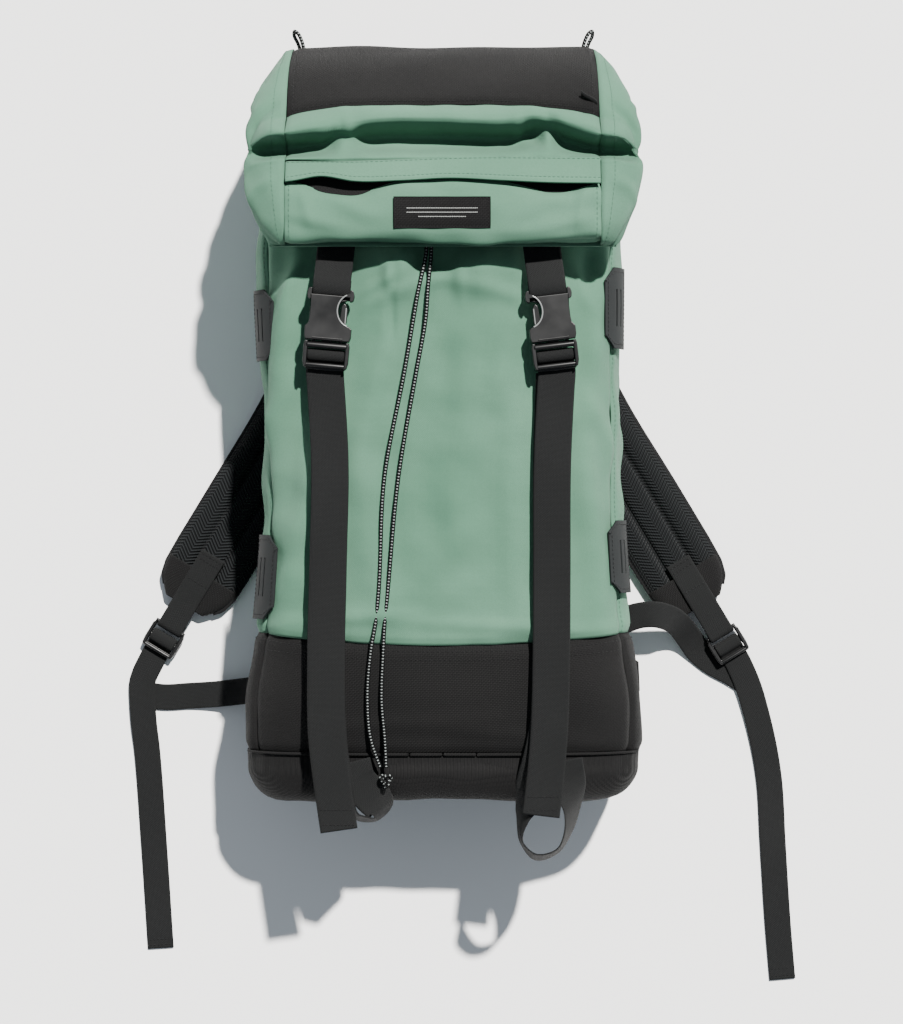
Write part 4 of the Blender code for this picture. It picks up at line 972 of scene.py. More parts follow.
        # cord loop: two legs side by side, out of the corner seam
        base = np.array([side * 0.0995, 0.2662, 0.074])
        loop = base + np.array([(-side * 0.002, -0.003, 0.003), (side * 0.0, 0.005, 0.0042),
                                (side * 0.0028, 0.0105, 0.0036), (side * 0.0052, 0.0122, 0.0012),
                                (side * 0.0056, 0.01, -0.0016), (side * 0.003, 0.0044, -0.0036),
                                (side * 0.0005, -0.003, -0.0045)])
        cord = roundTube(f"lidCordLoop{hand.title()}", alongCurve(loop, np.linspace(0, 1, 90)), 0.0013, 14,
                         braidedCord)
        settle(cord, "lid", f"lid_cord_loop_{hand}")
    # small webbing loop sewn in the yoke's right corner
    a = np.linspace(0, 1, 40)
    spot = lidSurface(lid["top"], np.array([0.535]), np.array([0.0985]))[0]
    path = spot + np.stack([0.0045 * np.cos(np.pi * (0.1 + 0.9 * a)), -0.004 + 0.007 * a,
                            0.0008 + 0.0016 * np.sin(np.pi * a)], 1)
    band = np.array([(-1, -1), (1, -1), (1, 1), (-1, 1)]) * (0.003, 0.0004)
    keeper = sweepMesh("yokeKeeper", path, (0, 0.6, 0.8), band, webbing)
    settle(keeper, "lid")


makeLidPanels()
print("lid made")


patch = {"shares": (0.84, 0.922), "half": 0.0325, "centreX": -0.0005}


def makePatch():
    # black woven label: raised border, and three plain stripes instead of any words or picture
    rows, cols = 60, 150
    share = np.linspace(*patch["shares"], rows)[:, None]
    x = np.linspace(-1, 1, cols)[None] * patch["half"] + patch["centreX"]
    v, u = np.linspace(-1, 1, rows)[:, None], np.linspace(-1, 1, cols)[None]
    border = np.exp(-((1 - np.abs(v)) / 0.07) ** 2) + np.exp(-((1 - np.abs(u)) / 0.035) ** 2)
    lift = 0.0016 + 0.00035 * np.clip(border, 0, 1) + rippleField(x, share * 0.25, 61, 5, 0.02, 0.0001)
    grid = lidSurface(lid["top"], share, x, lift)
    label = clothSheet("lidPatch", grid, blackCloth, lid["inside"], 0.001)
    settle(label, "lid", "lid_patch")
    up = gridNormals(grid)
    if up[rows // 2, cols // 2, 2] < 0:
        up = -up
    for k, (row, reach) in enumerate(((22, 0.74), (30, 0.74), (38, 0.5))):
        ends = slice(int(cols * (1 - reach) / 2), int(cols * (1 + reach) / 2))
        stitchRow(f"patchStripe{k}", grid[row, ends] + up[row, ends] * 0.0001, up[row, ends], "lid", patchThread,
                  pitch=0.0012, long=0.00125, radius=0.00036)
    stitchRow("patchStitch", aroundRim(grid, 3), aroundRim(up, 3), "lid", pitch=0.0022, long=0.0017,
              radius=0.00022)


makePatch()


zipper = {"turns": 150, "half": 0.101, "sunk": 0.0026, "wire": 0.00033, "sliderX": 0.0885}


def makeZip():
    # coil: a helix flattened along the tape; slider: plates round the coil with a leaf pull
    share = (lid["upperEnd"] + lid["zipEnd"]) / 2
    a = np.linspace(0, zipper["turns"] * 2 * np.pi, zipper["turns"] * 9)
    x = np.linspace(-zipper["half"], zipper["half"], len(a))
    line = lidSurface(lid["top"], share + 0.0017 * np.cos(a) / 0.25, x, 0.0007 * np.sin(a) - zipper["sunk"])
    coil = roundTube("zipCoil", line, zipper["wire"], 6, darkPlastic)
    settle(coil, "lid")
    above, at, below = lidSurface(lid["top"], share + np.array([-0.01, 0, 0.01]), 0.0)
    along = unit(above - below)
    up = unit(np.cross(np.array((1.0, 0, 0)), along))
    plate = ((-0.0038, -0.0026), (0.0034, -0.0034), (0.0044, 0.0), (0.0034, 0.0034), (-0.0038, 0.0026))
    body = flatPart("zipSliderBody", [roundedLoop(plate, 0.0012)], 0.0, 0.0009, 0.0002, darkMetal)
    pull = flatPart("zipSliderPull", [roundedLoop(((0.001, -0.0016), (0.011, -0.0022), (0.0128, 0.0), (0.011, 0.0022),
                                                   (0.001, 0.0016)), 0.001),
                                      roundedLoop(((0.0082, -0.001), (0.0112, -0.001), (0.0112, 0.001),
                                                   (0.0082, 0.001)), 0.0005)], 0.0012, 0.0019, 0.0002, darkMetal)
    bridge = flatPart("zipSliderBridge", [roundedLoop(((-0.002, -0.0007), (0.003, -0.0007), (0.003, 0.0007),
                                                       (-0.002, 0.0007)), 0.0005)], 0.0009, 0.0026, 0.0003, darkMetal)
    slider = joinPieces("zipSlider", [body, pull, bridge])
    spots = readVerts(slider)
    writeVerts(slider, np.array((zipper["sliderX"], at[1], at[2])) - up * 0.0024 + spots[:, :1] * (1.0, 0, 0)
               + spots[:, 1:2] * along + spots[:, 2:] * up)
    fixNormals(slider)
    settle(slider, "zip", "zip_slider")


def readVerts(item):
    spots = np.zeros(len(item.data.vertices) * 3)
    item.data.vertices.foreach_get("co", spots)
    return spots.reshape(-1, 3)


def writeVerts(item, spots):
    item.data.vertices.foreach_set("co", np.asarray(spots, float).ravel())
    item.data.update()


def roundedLoop(points, radius, steps=7):
    # each corner c becomes the curve (1-t)^2 a + 2t(1-t) c + t^2 b between points a, b at a radius along both sides
    p = np.array(points, float)
    before, after = np.roll(p, 1, 0) - p, np.roll(p, -1, 0) - p
    radius = np.broadcast_to(np.asarray(radius, float), (len(p),))
    ra = np.minimum(radius, np.linalg.norm(before, axis=1) * 0.48)[:, None]
    rb = np.minimum(radius, np.linalg.norm(after, axis=1) * 0.48)[:, None]
    a, b = p + unit(before) * ra, p + unit(after) * rb
    t = np.linspace(0, 1, steps)[None, :, None]
    return ((1 - t) ** 2 * a[:, None] + 2 * t * (1 - t) * p[:, None] + t**2 * b[:, None]).reshape(-1, 2)


def flatPart(name, loops, low, high, bevel, material=bucklePlastic):
    # flat outlines filled, given their height and a rounded edge, as a mesh
    data = bpy.data.curves.new(name, "CURVE")
    data.dimensions, data.fill_mode = "2D", "BOTH"
    data.extrude, data.bevel_depth, data.bevel_resolution = (high - low) / 2 - bevel, bevel, 2
    data.offset = -bevel
    for loop in loops:
        line = data.splines.new("POLY")
        line.points.add(len(loop) - 1)
        line.points.foreach_set("co", np.c_[loop, np.zeros(len(loop)), np.ones(len(loop))].ravel())
        line.use_cyclic_u = True
    source = bpy.data.objects.new(name, data)
    bpy.context.scene.collection.objects.link(source)
    mesh = bpy.data.meshes.new_from_object(source.evaluated_get(bpy.context.evaluated_depsgraph_get()))
    bpy.data.objects.remove(source, do_unlink=True)
    item = bpy.data.objects.new(name, mesh)
    bpy.context.scene.collection.objects.link(item)
    bm = bmesh.new()
    bm.from_mesh(mesh)
    bmesh.ops.remove_doubles(bm, verts=bm.verts, dist=0.00001)
    bmesh.ops.recalc_face_normals(bm, faces=bm.faces)
    bmesh.ops.translate(bm, verts=bm.verts, vec=(0, 0, (low + high) / 2))
    if bm.calc_volume(signed=True) < 0:
        bmesh.ops.reverse_faces(bm, faces=bm.faces)
    bm.to_mesh(mesh)
    bm.free()
    mesh.materials.clear()
    mesh.materials.append(material)
    mesh.polygons.foreach_set("use_smooth", np.zeros(len(mesh.polygons), bool))
    return item


makeZip()
print("patch and zip made")

buckle = {"left": (-0.0782, 0.056, -5.0), "right": (0.0748, 0.056, 6.8), "edge": 0.0005}


def turnPlace(item, at, angle):
    # mesh turned about Z and moved to its place
    c, s = math.cos(math.radians(angle)), math.sin(math.radians(angle))
    spots = readVerts(item)
    writeVerts(item, np.stack([at[0] + c * spots[:, 0] - s * spots[:, 1], at[1] + s * spots[:, 0] + c * spots[:, 1],
                               spots[:, 2]], 1))


def handed(outline, side):
    # an outline put on the given side of the middle, still turning the same way
    outline = np.array(outline, float) * (side, 1)
    return outline if side > 0 else outline[::-1]


def mirroredLoop(right):
    # right half of an outline joined to its mirror image
    right = np.array(right, float)
    return np.concatenate([right, right[::-1] * (-1, 1)])


def notchArc(centre, reach, start, end, count=18):
    # part of an ellipse
    a = np.radians(np.linspace(start, end, count))
    return np.stack([centre[0] + reach[0] * np.cos(a), centre[1] + reach[1] * np.sin(a)], 1)


def makeBuckleBody(hand):
    # flat outlines with rounded edges, stacked: two plates, side walls, ears, back wall and bar, with a pale tube
    # along the window's edge as a painted highlight
    e = buckle["edge"]
    notch = notchArc((0.015, 0.0212), (0.0098, 0.0112), 262, 108)
    shape = [(0.0, 0.0), (0.0148, 0.0), (0.0157, 0.003), (0.0157, 0.0086), (0.0142, 0.01), *notch]
    # the window shows on the side toward the middle of the bag; the other side is straight
    inner = 1 if hand == "left" else -1
    plain = [(0.0, 0.0), (0.0148, 0.0), (0.0157, 0.003), (0.0157, 0.0086), (0.0136, 0.0112), (0.0131, 0.015),
             (0.0131, 0.0322), (0.0131, 0.0306), (0.0, 0.0306)]
    windowed = [*shape, (0.0131, 0.0324), (0.0131, 0.0306), (0.0, 0.0306)]
    topPlate = handed(np.concatenate([np.array(windowed), handed(plain, -1)]), inner)
    lowPlate = mirroredLoop([*shape, (0.0146, 0.0325), (0.014, 0.0347), (0.0, 0.0347)])
    slot = roundedLoop(((-0.0128, 0.028), (0.0128, 0.028), (0.0128, 0.0316), (-0.0128, 0.0316)), 0.0006)
    wall = [(0.0128, 0.0), (0.0148, 0.0), (0.0157, 0.003), (0.0157, 0.0086), (0.0142, 0.01), (0.0128, 0.01)]
    ear = roundedLoop([(0.0129, 0.0268), (0.0154, 0.0276), (0.016, 0.0312), (0.015, 0.0347), (0.0129, 0.0352)],
                      0.0012)
    rib = roundedLoop(((-0.0105, 0.0008), (0.0105, 0.0008), (0.0105, 0.0018), (-0.0105, 0.0018)), 0.0004)
    parts = [flatPart("bucklePlateTop", [topPlate], 0.1538, 0.1562, e),
             flatPart("bucklePlateLow", [lowPlate, slot], 0.1462, 0.1482, e),
             flatPart("buckleBack", [mirroredLoop([(0.0, 0.0262), (0.007, 0.0262), (0.0118, 0.028), (0.0, 0.028)])],
                      0.148, 0.1542, 0.0003),
             flatPart("buckleBar", [mirroredLoop([(0.0, 0.0316), (0.0136, 0.0316), (0.0136, 0.0347), (0.0, 0.0347)])],
                      0.1476, 0.1532, 0.0012),
             flatPart("buckleRib", [rib], 0.1558, 0.1566, 0.0003)]
    for side in (1, -1):
        parts += [flatPart(f"buckleWall{k}", [handed(outline, side)], 0.1478, 0.156, 0.0004)
                  for k, outline in enumerate((wall, ear))]
    # pale tube along the window's edge: a painted highlight on the fillet
    rim = np.c_[notch * (inner, 1), np.full(len(notch), 0.1562)]
    parts.append(roundTube("buckleRimHighlight", alongCurve(rim, np.linspace(0.04, 0.96, 60)), 0.0005, 10, paintedHighlightPlastic))
    body = joinPieces(f"buckleBody{hand.title()}", parts)
    turnPlace(body, buckle[hand][:2], buckle[hand][2])
    settle(body, f"lid_closure_{hand}", f"buckle_body_{hand}")


def makeClip(hand):
    # slotted plate with two round bars and two rails, a middle prong, and two arms that move by themselves
    outline = mirroredLoop([(0.0, -0.0006), (0.0143, -0.0006), (0.0152, -0.0022), (0.0152, -0.0148),
                            (0.0142, -0.0185), (0.0128, -0.0197), (0.0, -0.0202)])
    upperSlot = roundedLoop(((-0.0131, -0.0085), (0.0131, -0.0085), (0.0131, -0.0044), (-0.0131, -0.0044)), 0.0008)
    lowerSlot = roundedLoop(((-0.0131, -0.0156), (0.0131, -0.0156), (0.0131, -0.0118), (-0.0131, -0.0118)), 0.0008)
    rail = [(0.0128, -0.0008), (0.0148, -0.0008), (0.0155, -0.003), (0.0155, -0.0146), (0.0145, -0.0184),
            (0.0128, -0.019)]
    prong = mirroredLoop([(0.0, 0.0168), (0.002, 0.0168), (0.0033, 0.014), (0.0035, -0.001), (0.0, -0.001)])
    parts = [flatPart("clipPlate", [outline, upperSlot, lowerSlot], 0.1484, 0.1518, 0.0006),
             flatPart("clipProng", [prong], 0.1492, 0.153, 0.0005)]
    for side in (1, -1):
        parts.append(flatPart("clipRail", [handed(rail, side)], 0.1484, 0.1556, 0.0007))
    x = np.linspace(-0.0138, 0.0138, 24)
    for y, z, radius in ((-0.0036, 0.1545, 0.0019), (-0.017, 0.1532, 0.0017)):
        bar = np.stack([x, 0 * x + y, z - 0.0004 * (x / 0.0138) ** 2], 1)
        parts.append(roundTube("clipBar", bar, radius, 16, bucklePlastic))
    frameItem = joinPieces(f"clipFrame{hand.title()}", parts)
    turnPlace(frameItem, buckle[hand][:2], buckle[hand][2])
    settle(frameItem, f"clip_{hand}", f"clip_frame_{hand}")
    for name, side in (("inner", 1), ("outer", -1)):
        # springy arm: slim stem, then a head whose outer side shows in the window, with a pale line along its ridge
        # as a painted highlight
        stem = roundedLoop(handed(((0.008, -0.0012), (0.0104, -0.0012), (0.0106, 0.007), (0.0112, 0.0094),
                                   (0.0114, 0.0124), (0.0116, 0.0226), (0.0108, 0.025), (0.0092, 0.026),
                                   (0.0078, 0.024), (0.0072, 0.015), (0.0074, 0.011), (0.0084, 0.007)), side),
                           0.001)
        ridge = handed(((0.0106, 0.0126), (0.012, 0.0126), (0.012, 0.0224), (0.0106, 0.0224)), side)
        arm = joinPieces(f"clipArm{name.title()}{hand.title()}", [
            flatPart("armStem", [stem], 0.1487, 0.153, 0.0005),
            flatPart("armRidge", [roundedLoop(ridge, 0.0004)], 0.1492, 0.1526, 0.0004),
            roundTube("armHighlightLine", [(side * 0.011, y, 0.1531) for y in np.linspace(0.012, 0.0228, 20)], 0.0004, 8,
                      paintedHighlightPlastic)])
        turnPlace(arm, buckle[hand][:2], buckle[hand][2])
        settle(arm, f"arm_{name}_{hand}", f"clip_arm_{name}_{hand}")


for hand in ("left", "right"):
    makeBuckleBody(hand)
    makeClip(hand)
print("buckles made")

web = {"wide": 0.0254, "thick": 0.0012, "strapWide": 0.019, "strapThick": 0.0011, "step": 0.0013}


def oblongRound(count):
    # once round a flat section: place across from -1 to 1 and back, and which side it is on
    across = np.concatenate([np.linspace(-1, 1, count), np.linspace(1, -1, count)[1:-1]])
    return across, np.r_[np.full(count, -1.0), np.full(count - 2, 1.0)]


def webShape(wide, thick):
    # flat band with a thicker woven edge: (x, z) round a rounded oblong whose edges swell by a tenth
    x = np.concatenate([np.linspace(-1, 1, 27), np.linspace(1, -1, 27)])
    side = np.r_[np.full(27, -1.0), np.full(27, 1.0)]
    crown = (1 - np.abs(x) ** 14) ** 0.5 * 0.92 + 0.08
    swell = 1 + 0.16 * np.exp(-((1 - np.abs(x)) / 0.08) ** 2)
    return np.stack([x * wide / 2, side * thick / 2 * crown * swell], 1)


def webPiece(name, points, sides, wide, thick, node, body, start=0.0, end=1.0, wave=0.0):
    # points and their across directions resampled evenly, with a slow wave along the band
    points = np.array(points, float)
    sides = np.broadcast_to(np.array(sides, float), points.shape)
    both = np.c_[points, unit(sides) * 0.02]
    length = runAlong(points)[-1]
    count = max(30, int(length / web["step"]))
    both = alongCurve(both, np.linspace(start, end, count))
    path, across = both[:, :3], both[:, 3:]
    if wave:
        ahead = unit(np.gradient(path, axis=0))
        up = np.cross(unit(across), ahead)
        s = np.linspace(0, length, count)
        up = up * np.where(up[:, 2:] < 0, -1, 1)
        swell = np.sin(s / 0.031 + 0.8) * 0.6 + np.sin(s / 0.017) * 0.3
        swell = wave * swell * np.sin(np.linspace(0, np.pi, count))
        path = path + up * np.abs(swell)[:, None]
    piece = sweepMesh(name, path, across, webShape(wide, thick), webbing)
    if body:
        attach(piece, body)
    if node:
        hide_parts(node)
    return piece, path, unit(across)


def turned(hand, points):
    # points (along, height) carried to a buckle and turned with it
    x0, y0, angle = buckle[hand]
    turn = math.radians(angle)
    return ([(x0 - math.sin(turn) * y, y0 + math.cos(turn) * y, z) for y, z in points],
            [(math.cos(turn), math.sin(turn), 0)] * len(points))


def crossStitch(name, path, across, wide, body, spots, up=0.0007):
    # stitch rows across a band at the given shares of its length
    n = len(path)
    for k, spot in enumerate(spots):
        i = min(int(spot * (n - 1)), n - 2)
        ahead = unit(path[i + 1] - path[i])
        normal = np.cross(unit(across[i]), ahead)
        normal = normal if normal[2] > 0 else -normal
        row = path[i] + np.linspace(-0.44, 0.44, 30)[:, None] * wide * across[i] + normal * up
        stitchRow(f"{name}{k}", row, np.broadcast_to(normal, row.shape), body, pitch=0.0024, long=0.0018)


frontTails = {
    "left": ((-0.0766, -0.025, 0.1472), (-0.078, -0.1, 0.1472), (-0.0793, -0.16, 0.147),
             (-0.0785, -0.215, 0.1462), (-0.0745, -0.248, 0.1455), (-0.0705, -0.276, 0.145)),
    "right": ((0.0742, -0.025, 0.1472), (0.0738, -0.1, 0.1472), (0.0734, -0.16, 0.147),
              (0.072, -0.21, 0.1462), (0.0695, -0.24, 0.1455), (0.0665, -0.266, 0.145)),
}
clipWrap = ((-0.02, 0.1456), (-0.0095, 0.1456), (-0.0077, 0.1462), (-0.0066, 0.1478), (-0.0063, 0.15),
            (-0.0068, 0.152), (-0.0084, 0.1532), (-0.0102, 0.1535), (-0.012, 0.153), (-0.0134, 0.1515),
            (-0.0139, 0.1495), (-0.0146, 0.1478), (-0.0162, 0.1473), (-0.02, 0.1472))
lidStrapWrap = ((0.072, 0.1418), (0.064, 0.1428), (0.056, 0.145), (0.05, 0.1484), (0.044, 0.1522),
                (0.04, 0.1546), (0.0365, 0.1554), (0.0335, 0.1551), (0.031, 0.154), (0.03, 0.1514),
                (0.0304, 0.149), (0.0322, 0.1474), (0.036, 0.1468), (0.042, 0.1466))
underStraps = {
    "left": (((-0.08, 0.034, 0.144), (-0.077, -0.02, 0.144), (-0.078, -0.1, 0.144),
              (-0.0792, -0.16, 0.1438), (-0.0785, -0.205, 0.1428), (-0.076, -0.23, 0.1405),
              (-0.0715, -0.248, 0.136), (-0.066, -0.26, 0.1315), (-0.057, -0.269, 0.13),
              (-0.047, -0.27, 0.13), (-0.042, -0.262, 0.1315), (-0.049, -0.253, 0.1362),
              (-0.0585, -0.242, 0.1376), (-0.062, -0.23, 0.1372)),
             ((1, 0, 0),) * 5 + ((1, 0, 0.1), (0.85, 0.1, 0.5), (0.45, 0.2, 0.9), (0, 0.3, 1), (0, 0.2, 1),
                                 (-0.6, 0, 0.75), (-0.95, -0.1, 0.25), (-1, -0.1, 0.05), (-1, 0, 0.02))),
    "right": (((0.0758, 0.034, 0.144), (0.074, -0.02, 0.144), (0.0738, -0.1, 0.144),
               (0.0734, -0.16, 0.1438), (0.0715, -0.205, 0.1428), (0.0665, -0.23, 0.1405),
               (0.06, -0.25, 0.136), (0.054, -0.268, 0.131), (0.054, -0.286, 0.1285),
               (0.064, -0.296, 0.128), (0.078, -0.292, 0.128), (0.086, -0.278, 0.129),
               (0.0885, -0.262, 0.1315), (0.087, -0.248, 0.1345), (0.084, -0.237, 0.1365),
               (0.0825, -0.229, 0.1372)),
              ((1, 0, 0),) * 5 + ((1, 0, 0.1), (0.85, 0.1, 0.5), (0.35, 0.1, 0.95), (0, 0.2, 1), (0, 0.3, 1),
                                  (-0.1, 0.2, 1), (-0.3, 0, 1), (-0.5, 0, 0.85), (-0.8, 0, 0.45),
                                  (-1, 0, 0.12), (-1, 0, 0.02))),
}


def makeFrontWebbing():
    # on each side: tail webbing round both bars of the clip, lid strap round the buckle's bar, strap under them
    for hand in ("left", "right"):
        points, sides = turned(hand, clipWrap)
        tail = alongCurve([points[-1], *frontTails[hand]], np.linspace(0.035, 1, 15))
        full = [*points, *map(tuple, tail)]
        across = [*sides, *[(1, 0, 0)] * len(tail)]
        _, path, side = webPiece(f"frontTail{hand.title()}", full, across, web["wide"], web["thick"],
                                 f"front_tail_{hand}", f"clip_{hand}", wave=0.0009)
        # turned hem on the end of the tail, folded under and stitched
        n = len(path)
        hem = path[n - 14:] - (0, 0, 0.0014)
        under = sweepMesh(f"frontTailHem{hand.title()}", hem, side[n - 14:],
                          webShape(web["wide"] * 0.98, web["thick"]), webbing)
        settle(under, f"clip_{hand}")
        crossStitch(f"frontTailStitch{hand.title()}", path, side, web["wide"], f"clip_{hand}", (0.962, 0.992))
        points, sides = turned(hand, lidStrapWrap)
        webPiece(f"lidStrap{hand.title()}", points, sides, web["wide"], web["thick"], f"lid_strap_{hand}",
                 f"lid_closure_{hand}")
        points, sides = underStraps[hand]
        _, path, side = webPiece(f"frontStrap{hand.title()}", points, sides, web["wide"], web["thick"],
                                 f"front_strap_{hand}", "pack")
        crossStitch(f"frontStrapStitch{hand.title()}", path, side, web["wide"], "pack", (0.02, 0.035))


makeFrontWebbing()
print("front webbing made")

lash = {"lift": 0.003, "thick": 0.0016,
        "tabs": (("upper_left", 0.069, 0.049, -1), ("upper_right", 0.081, 0.056, 1),
                 ("lower_left", -0.1045, 0.058, -1), ("lower_right", -0.0905, 0.05, 1))}


def makeLashTab(name, y, long, side):
    # sheet bent over the front seam: cells are left out for two slots, the corners are cut by pulling the rim in,
    # then thickened
    rows, cols = 75, 45
    low, high = bag["frontSeam"] - 0.022, bag["frontSeam"] + 0.02
    shares = np.linspace(low, high, cols)[None]
    ys = np.linspace(y + long / 2, y - long / 2, rows)[:, None]
    grid = shellPoints(ys, shares if side > 0 else 1 - shares)
    centre = np.array([0, 0, 0.0782])
    away = grid - centre
    away[..., 1] = 0
    u, v = np.linspace(0, 1, cols)[None], np.linspace(0, 1, rows)[:, None]
    lift = lash["lift"] + 0.0006 * np.sin(np.pi * v) * np.sin(np.pi * u)
    # cut corners by pulling the rim in: the inner corners lose a triangle with a rounded end
    corner = np.clip((u - 0.68) / 0.32, 0, 1) * np.clip((np.abs(v - 0.5) - 0.34) / 0.16, 0, 1)
    shift = np.sign(v - 0.5) * corner**0.9 * long * 0.16
    grid = grid + (0, 1, 0) * shift[..., None]
    grid = grid + unit(away) * lift[..., None]
    keep = np.ones((rows - 1, cols - 1), bool)
    for c in (16, 25):
        keep[20:54, c:c + 3] = False
    faces = gridFaces(rows, cols)[keep.ravel()]
    uv = gridUv(grid)
    if not facingOut(grid, (0, y, 0.075)):
        faces = faces[:, ::-1]
    item = makeMesh(f"lashTab{titled(name)}", grid, faces, uv, tabSheet)
    thicken(item, lash["thick"])
    edge = item.modifiers.new("soft edges", "BEVEL")
    edge.width, edge.segments, edge.limit_method, edge.angle_limit = 0.00035, 2, "ANGLE", math.radians(50)
    settle(item, "pack", f"lash_tab_{name}")
    up = unit(away)
    stitchRow(f"lashTabStitch{titled(name)}", aroundRim(grid, 4), aroundRim(up, 4), "pack", pitch=0.003)


for row in lash["tabs"]:
    makeLashTab(*row)
print("lash tabs made")

harness = {
    "padWide": 0.058, "padThick": 0.011, "z": 0.0062,
    "routes": {"left": ((-0.045, 0.19), (-0.056, 0.135), (-0.079, 0.066), (-0.108, 0.006), (-0.144, -0.054),
                        (-0.1858, -0.1226)),
               "right": ((0.045, 0.19), (0.056, 0.135), (0.078, 0.066), (0.106, 0.008), (0.143, -0.053),
                         (0.185, -0.1228))},
    "locks": {"left": (-0.2045, -0.153), "right": (0.2075, -0.157)},
    "lockAngles": {"left": 180 - 31.3, "right": 180 + 31.3},
}


def makeHerringbone():
    # chevrons of knitted mesh: ribs climb by the folded distance across each column, with small holes between them
    # that are darkened as painted shade
    material, tree, shader = newMaterial("herringboneMesh")
    across, along = splitUv(tree, ownUv(tree))
    fold = mathNode(tree, "PINGPONG", mathNode(tree, "MULTIPLY", across, 1 / 0.008), 1.0)
    climb = mathNode(tree, "ADD", along, mathNode(tree, "MULTIPLY", fold, 0.0056))
    rib = mathNode(tree, "SINE", mathNode(tree, "MULTIPLY", climb, 2 * math.pi / 0.0026))
    cross = mathNode(tree, "SINE", mathNode(tree, "MULTIPLY", across, 2 * math.pi / 0.00155))
    # painted shade: the hollows between the ribs are darker and the rib tops lighter
    mask = mathNode(tree, "MULTIPLY", mathNode(tree, "ADD", rib, 1.0), 0.5)
    tree.links.new(mixColour(tree, mask, (0.0016, 0.002, 0.0024), (0.0105, 0.012, 0.013)),
                   shader.inputs["Base Color"])
    addBump(tree, shader, mathNode(tree, "ADD", rib, mathNode(tree, "MULTIPLY", cross, 0.35)), Distance=0.0006)
    setShader(shader, Roughness=0.85, Sheen_Weight=0.02, Specular_IOR_Level=0.15)
    return material


herringbone = makeHerringbone()


def makePads():
    for hand, route in harness["routes"].items():
        # closed pad: across u and round its edge, thickness (1 - |u|^8)^0.5 with two sewn channels at a third each
        n = 230
        line = alongCurve([(x, y, harness["z"]) for x, y in route], np.linspace(0, 1, n))
        u, top = oblongRound(70)
        crown = np.clip(1 - np.abs(u) ** 6, 0, 1) ** 0.5
        channel = np.exp(-((np.abs(u) - 0.34) / 0.07) ** 2)
        rise = (crown * (0.76 + 0.24 * np.abs(np.cos(np.pi * u * 1.5))) - 0.4 * channel).clip(0.02, None)
        shape = np.stack([u * harness["padWide"] / 2, top * rise * harness["padThick"] / 2], 1)
        s = np.linspace(0, 1, n)
        wide = np.interp(s, (0, 0.02, 0.12, 0.26, 0.4, 0.9, 0.955, 0.985, 1),
                         (0.78, 0.86, 0.9, 0.97, 1, 1, 0.98, 0.88, 0.72))
        tall = np.interp(s, (0, 0.02, 0.12, 0.93, 0.97, 1), (0.5, 0.72, 1, 1, 0.86, 0.45))
        tall = tall * (1 + 0.04 * np.sin(s * 60) * np.sin(s * np.pi))
        pad = sweepMesh(f"shoulderPad{hand.title()}", line, np.cross(np.gradient(line, axis=0), (0, 0, 1)), shape,
                        herringbone, np.stack([wide, tall], 1))
        settle(pad, f"shoulder_{hand}", f"shoulder_pad_{hand}")
        # binding tape folded round both edges
        across = unit(np.cross(np.gradient(line, axis=0), np.array((0, 0, 1.0))))
        for k, side in enumerate((-1, 1)):
            edge = line + across * (side * harness["padWide"] / 2 * wide)[:, None] * 0.985
            a = np.linspace(0, 2 * np.pi, 18, endpoint=False)
            ring = np.stack([0.0017 * np.cos(a) * (1 - 0.2 * np.cos(a)), 0.0017 * np.sin(a)], 1)
            binding = sweepMesh(f"padBinding{hand.title()}{k}", edge, across, ring, bindingTape,
                                np.stack([np.ones(n), tall**0.5], 1))
            settle(binding, f"shoulder_{hand}")
        for k, side in enumerate((-0.34, 0.34)):
            row = line + across * (side * harness["padWide"] / 2 * wide)[:, None]
            row = row + (0, 0, 1) * (tall * harness["padThick"] / 2 * 0.36 + 0.0003)[:, None]
            stitchRow(f"padStitch{hand.title()}{k}", row, np.broadcast_to((0, 0, 1.0), row.shape), f"shoulder_{hand}",
                      threadMaterial, pitch=0.004, long=0.0029)
        # reinforced end: cloth cap sewn over the narrow end of the pad
        end = line[-1] + unit(line[-1] - line[-8]) * 0.006
        back = line[int(n * 0.935)]
        capPath = np.linspace(back, end, 24) + (0, 0, 0.0002)
        capShape = np.stack([u * 0.0288, top * np.clip(1 - np.abs(u) ** 8, 0.02, 1) ** 0.5 * 0.0058], 1)
        narrow = 1 - 0.45 * np.linspace(0, 1, 24) ** 2.2
        cap = sweepMesh(f"padCap{hand.title()}", capPath, across[-1], capShape, blackCloth,
                        np.stack([narrow, np.linspace(1.02, 0.62, 24)], 1))
        settle(cap, f"shoulder_{hand}")


makePads()


def lockFrame(hand, points):
    # points along and above a ladder lock, with +along toward the free end
    x0, y0 = harness["locks"][hand]
    turn = math.radians(harness["lockAngles"][hand] - 180)
    ahead, across = (math.sin(turn), -math.cos(turn)), (math.cos(turn), math.sin(turn), 0)
    return [(x0 + ahead[0] * s, y0 + ahead[1] * s, z) for s, z in points], [across] * len(points)


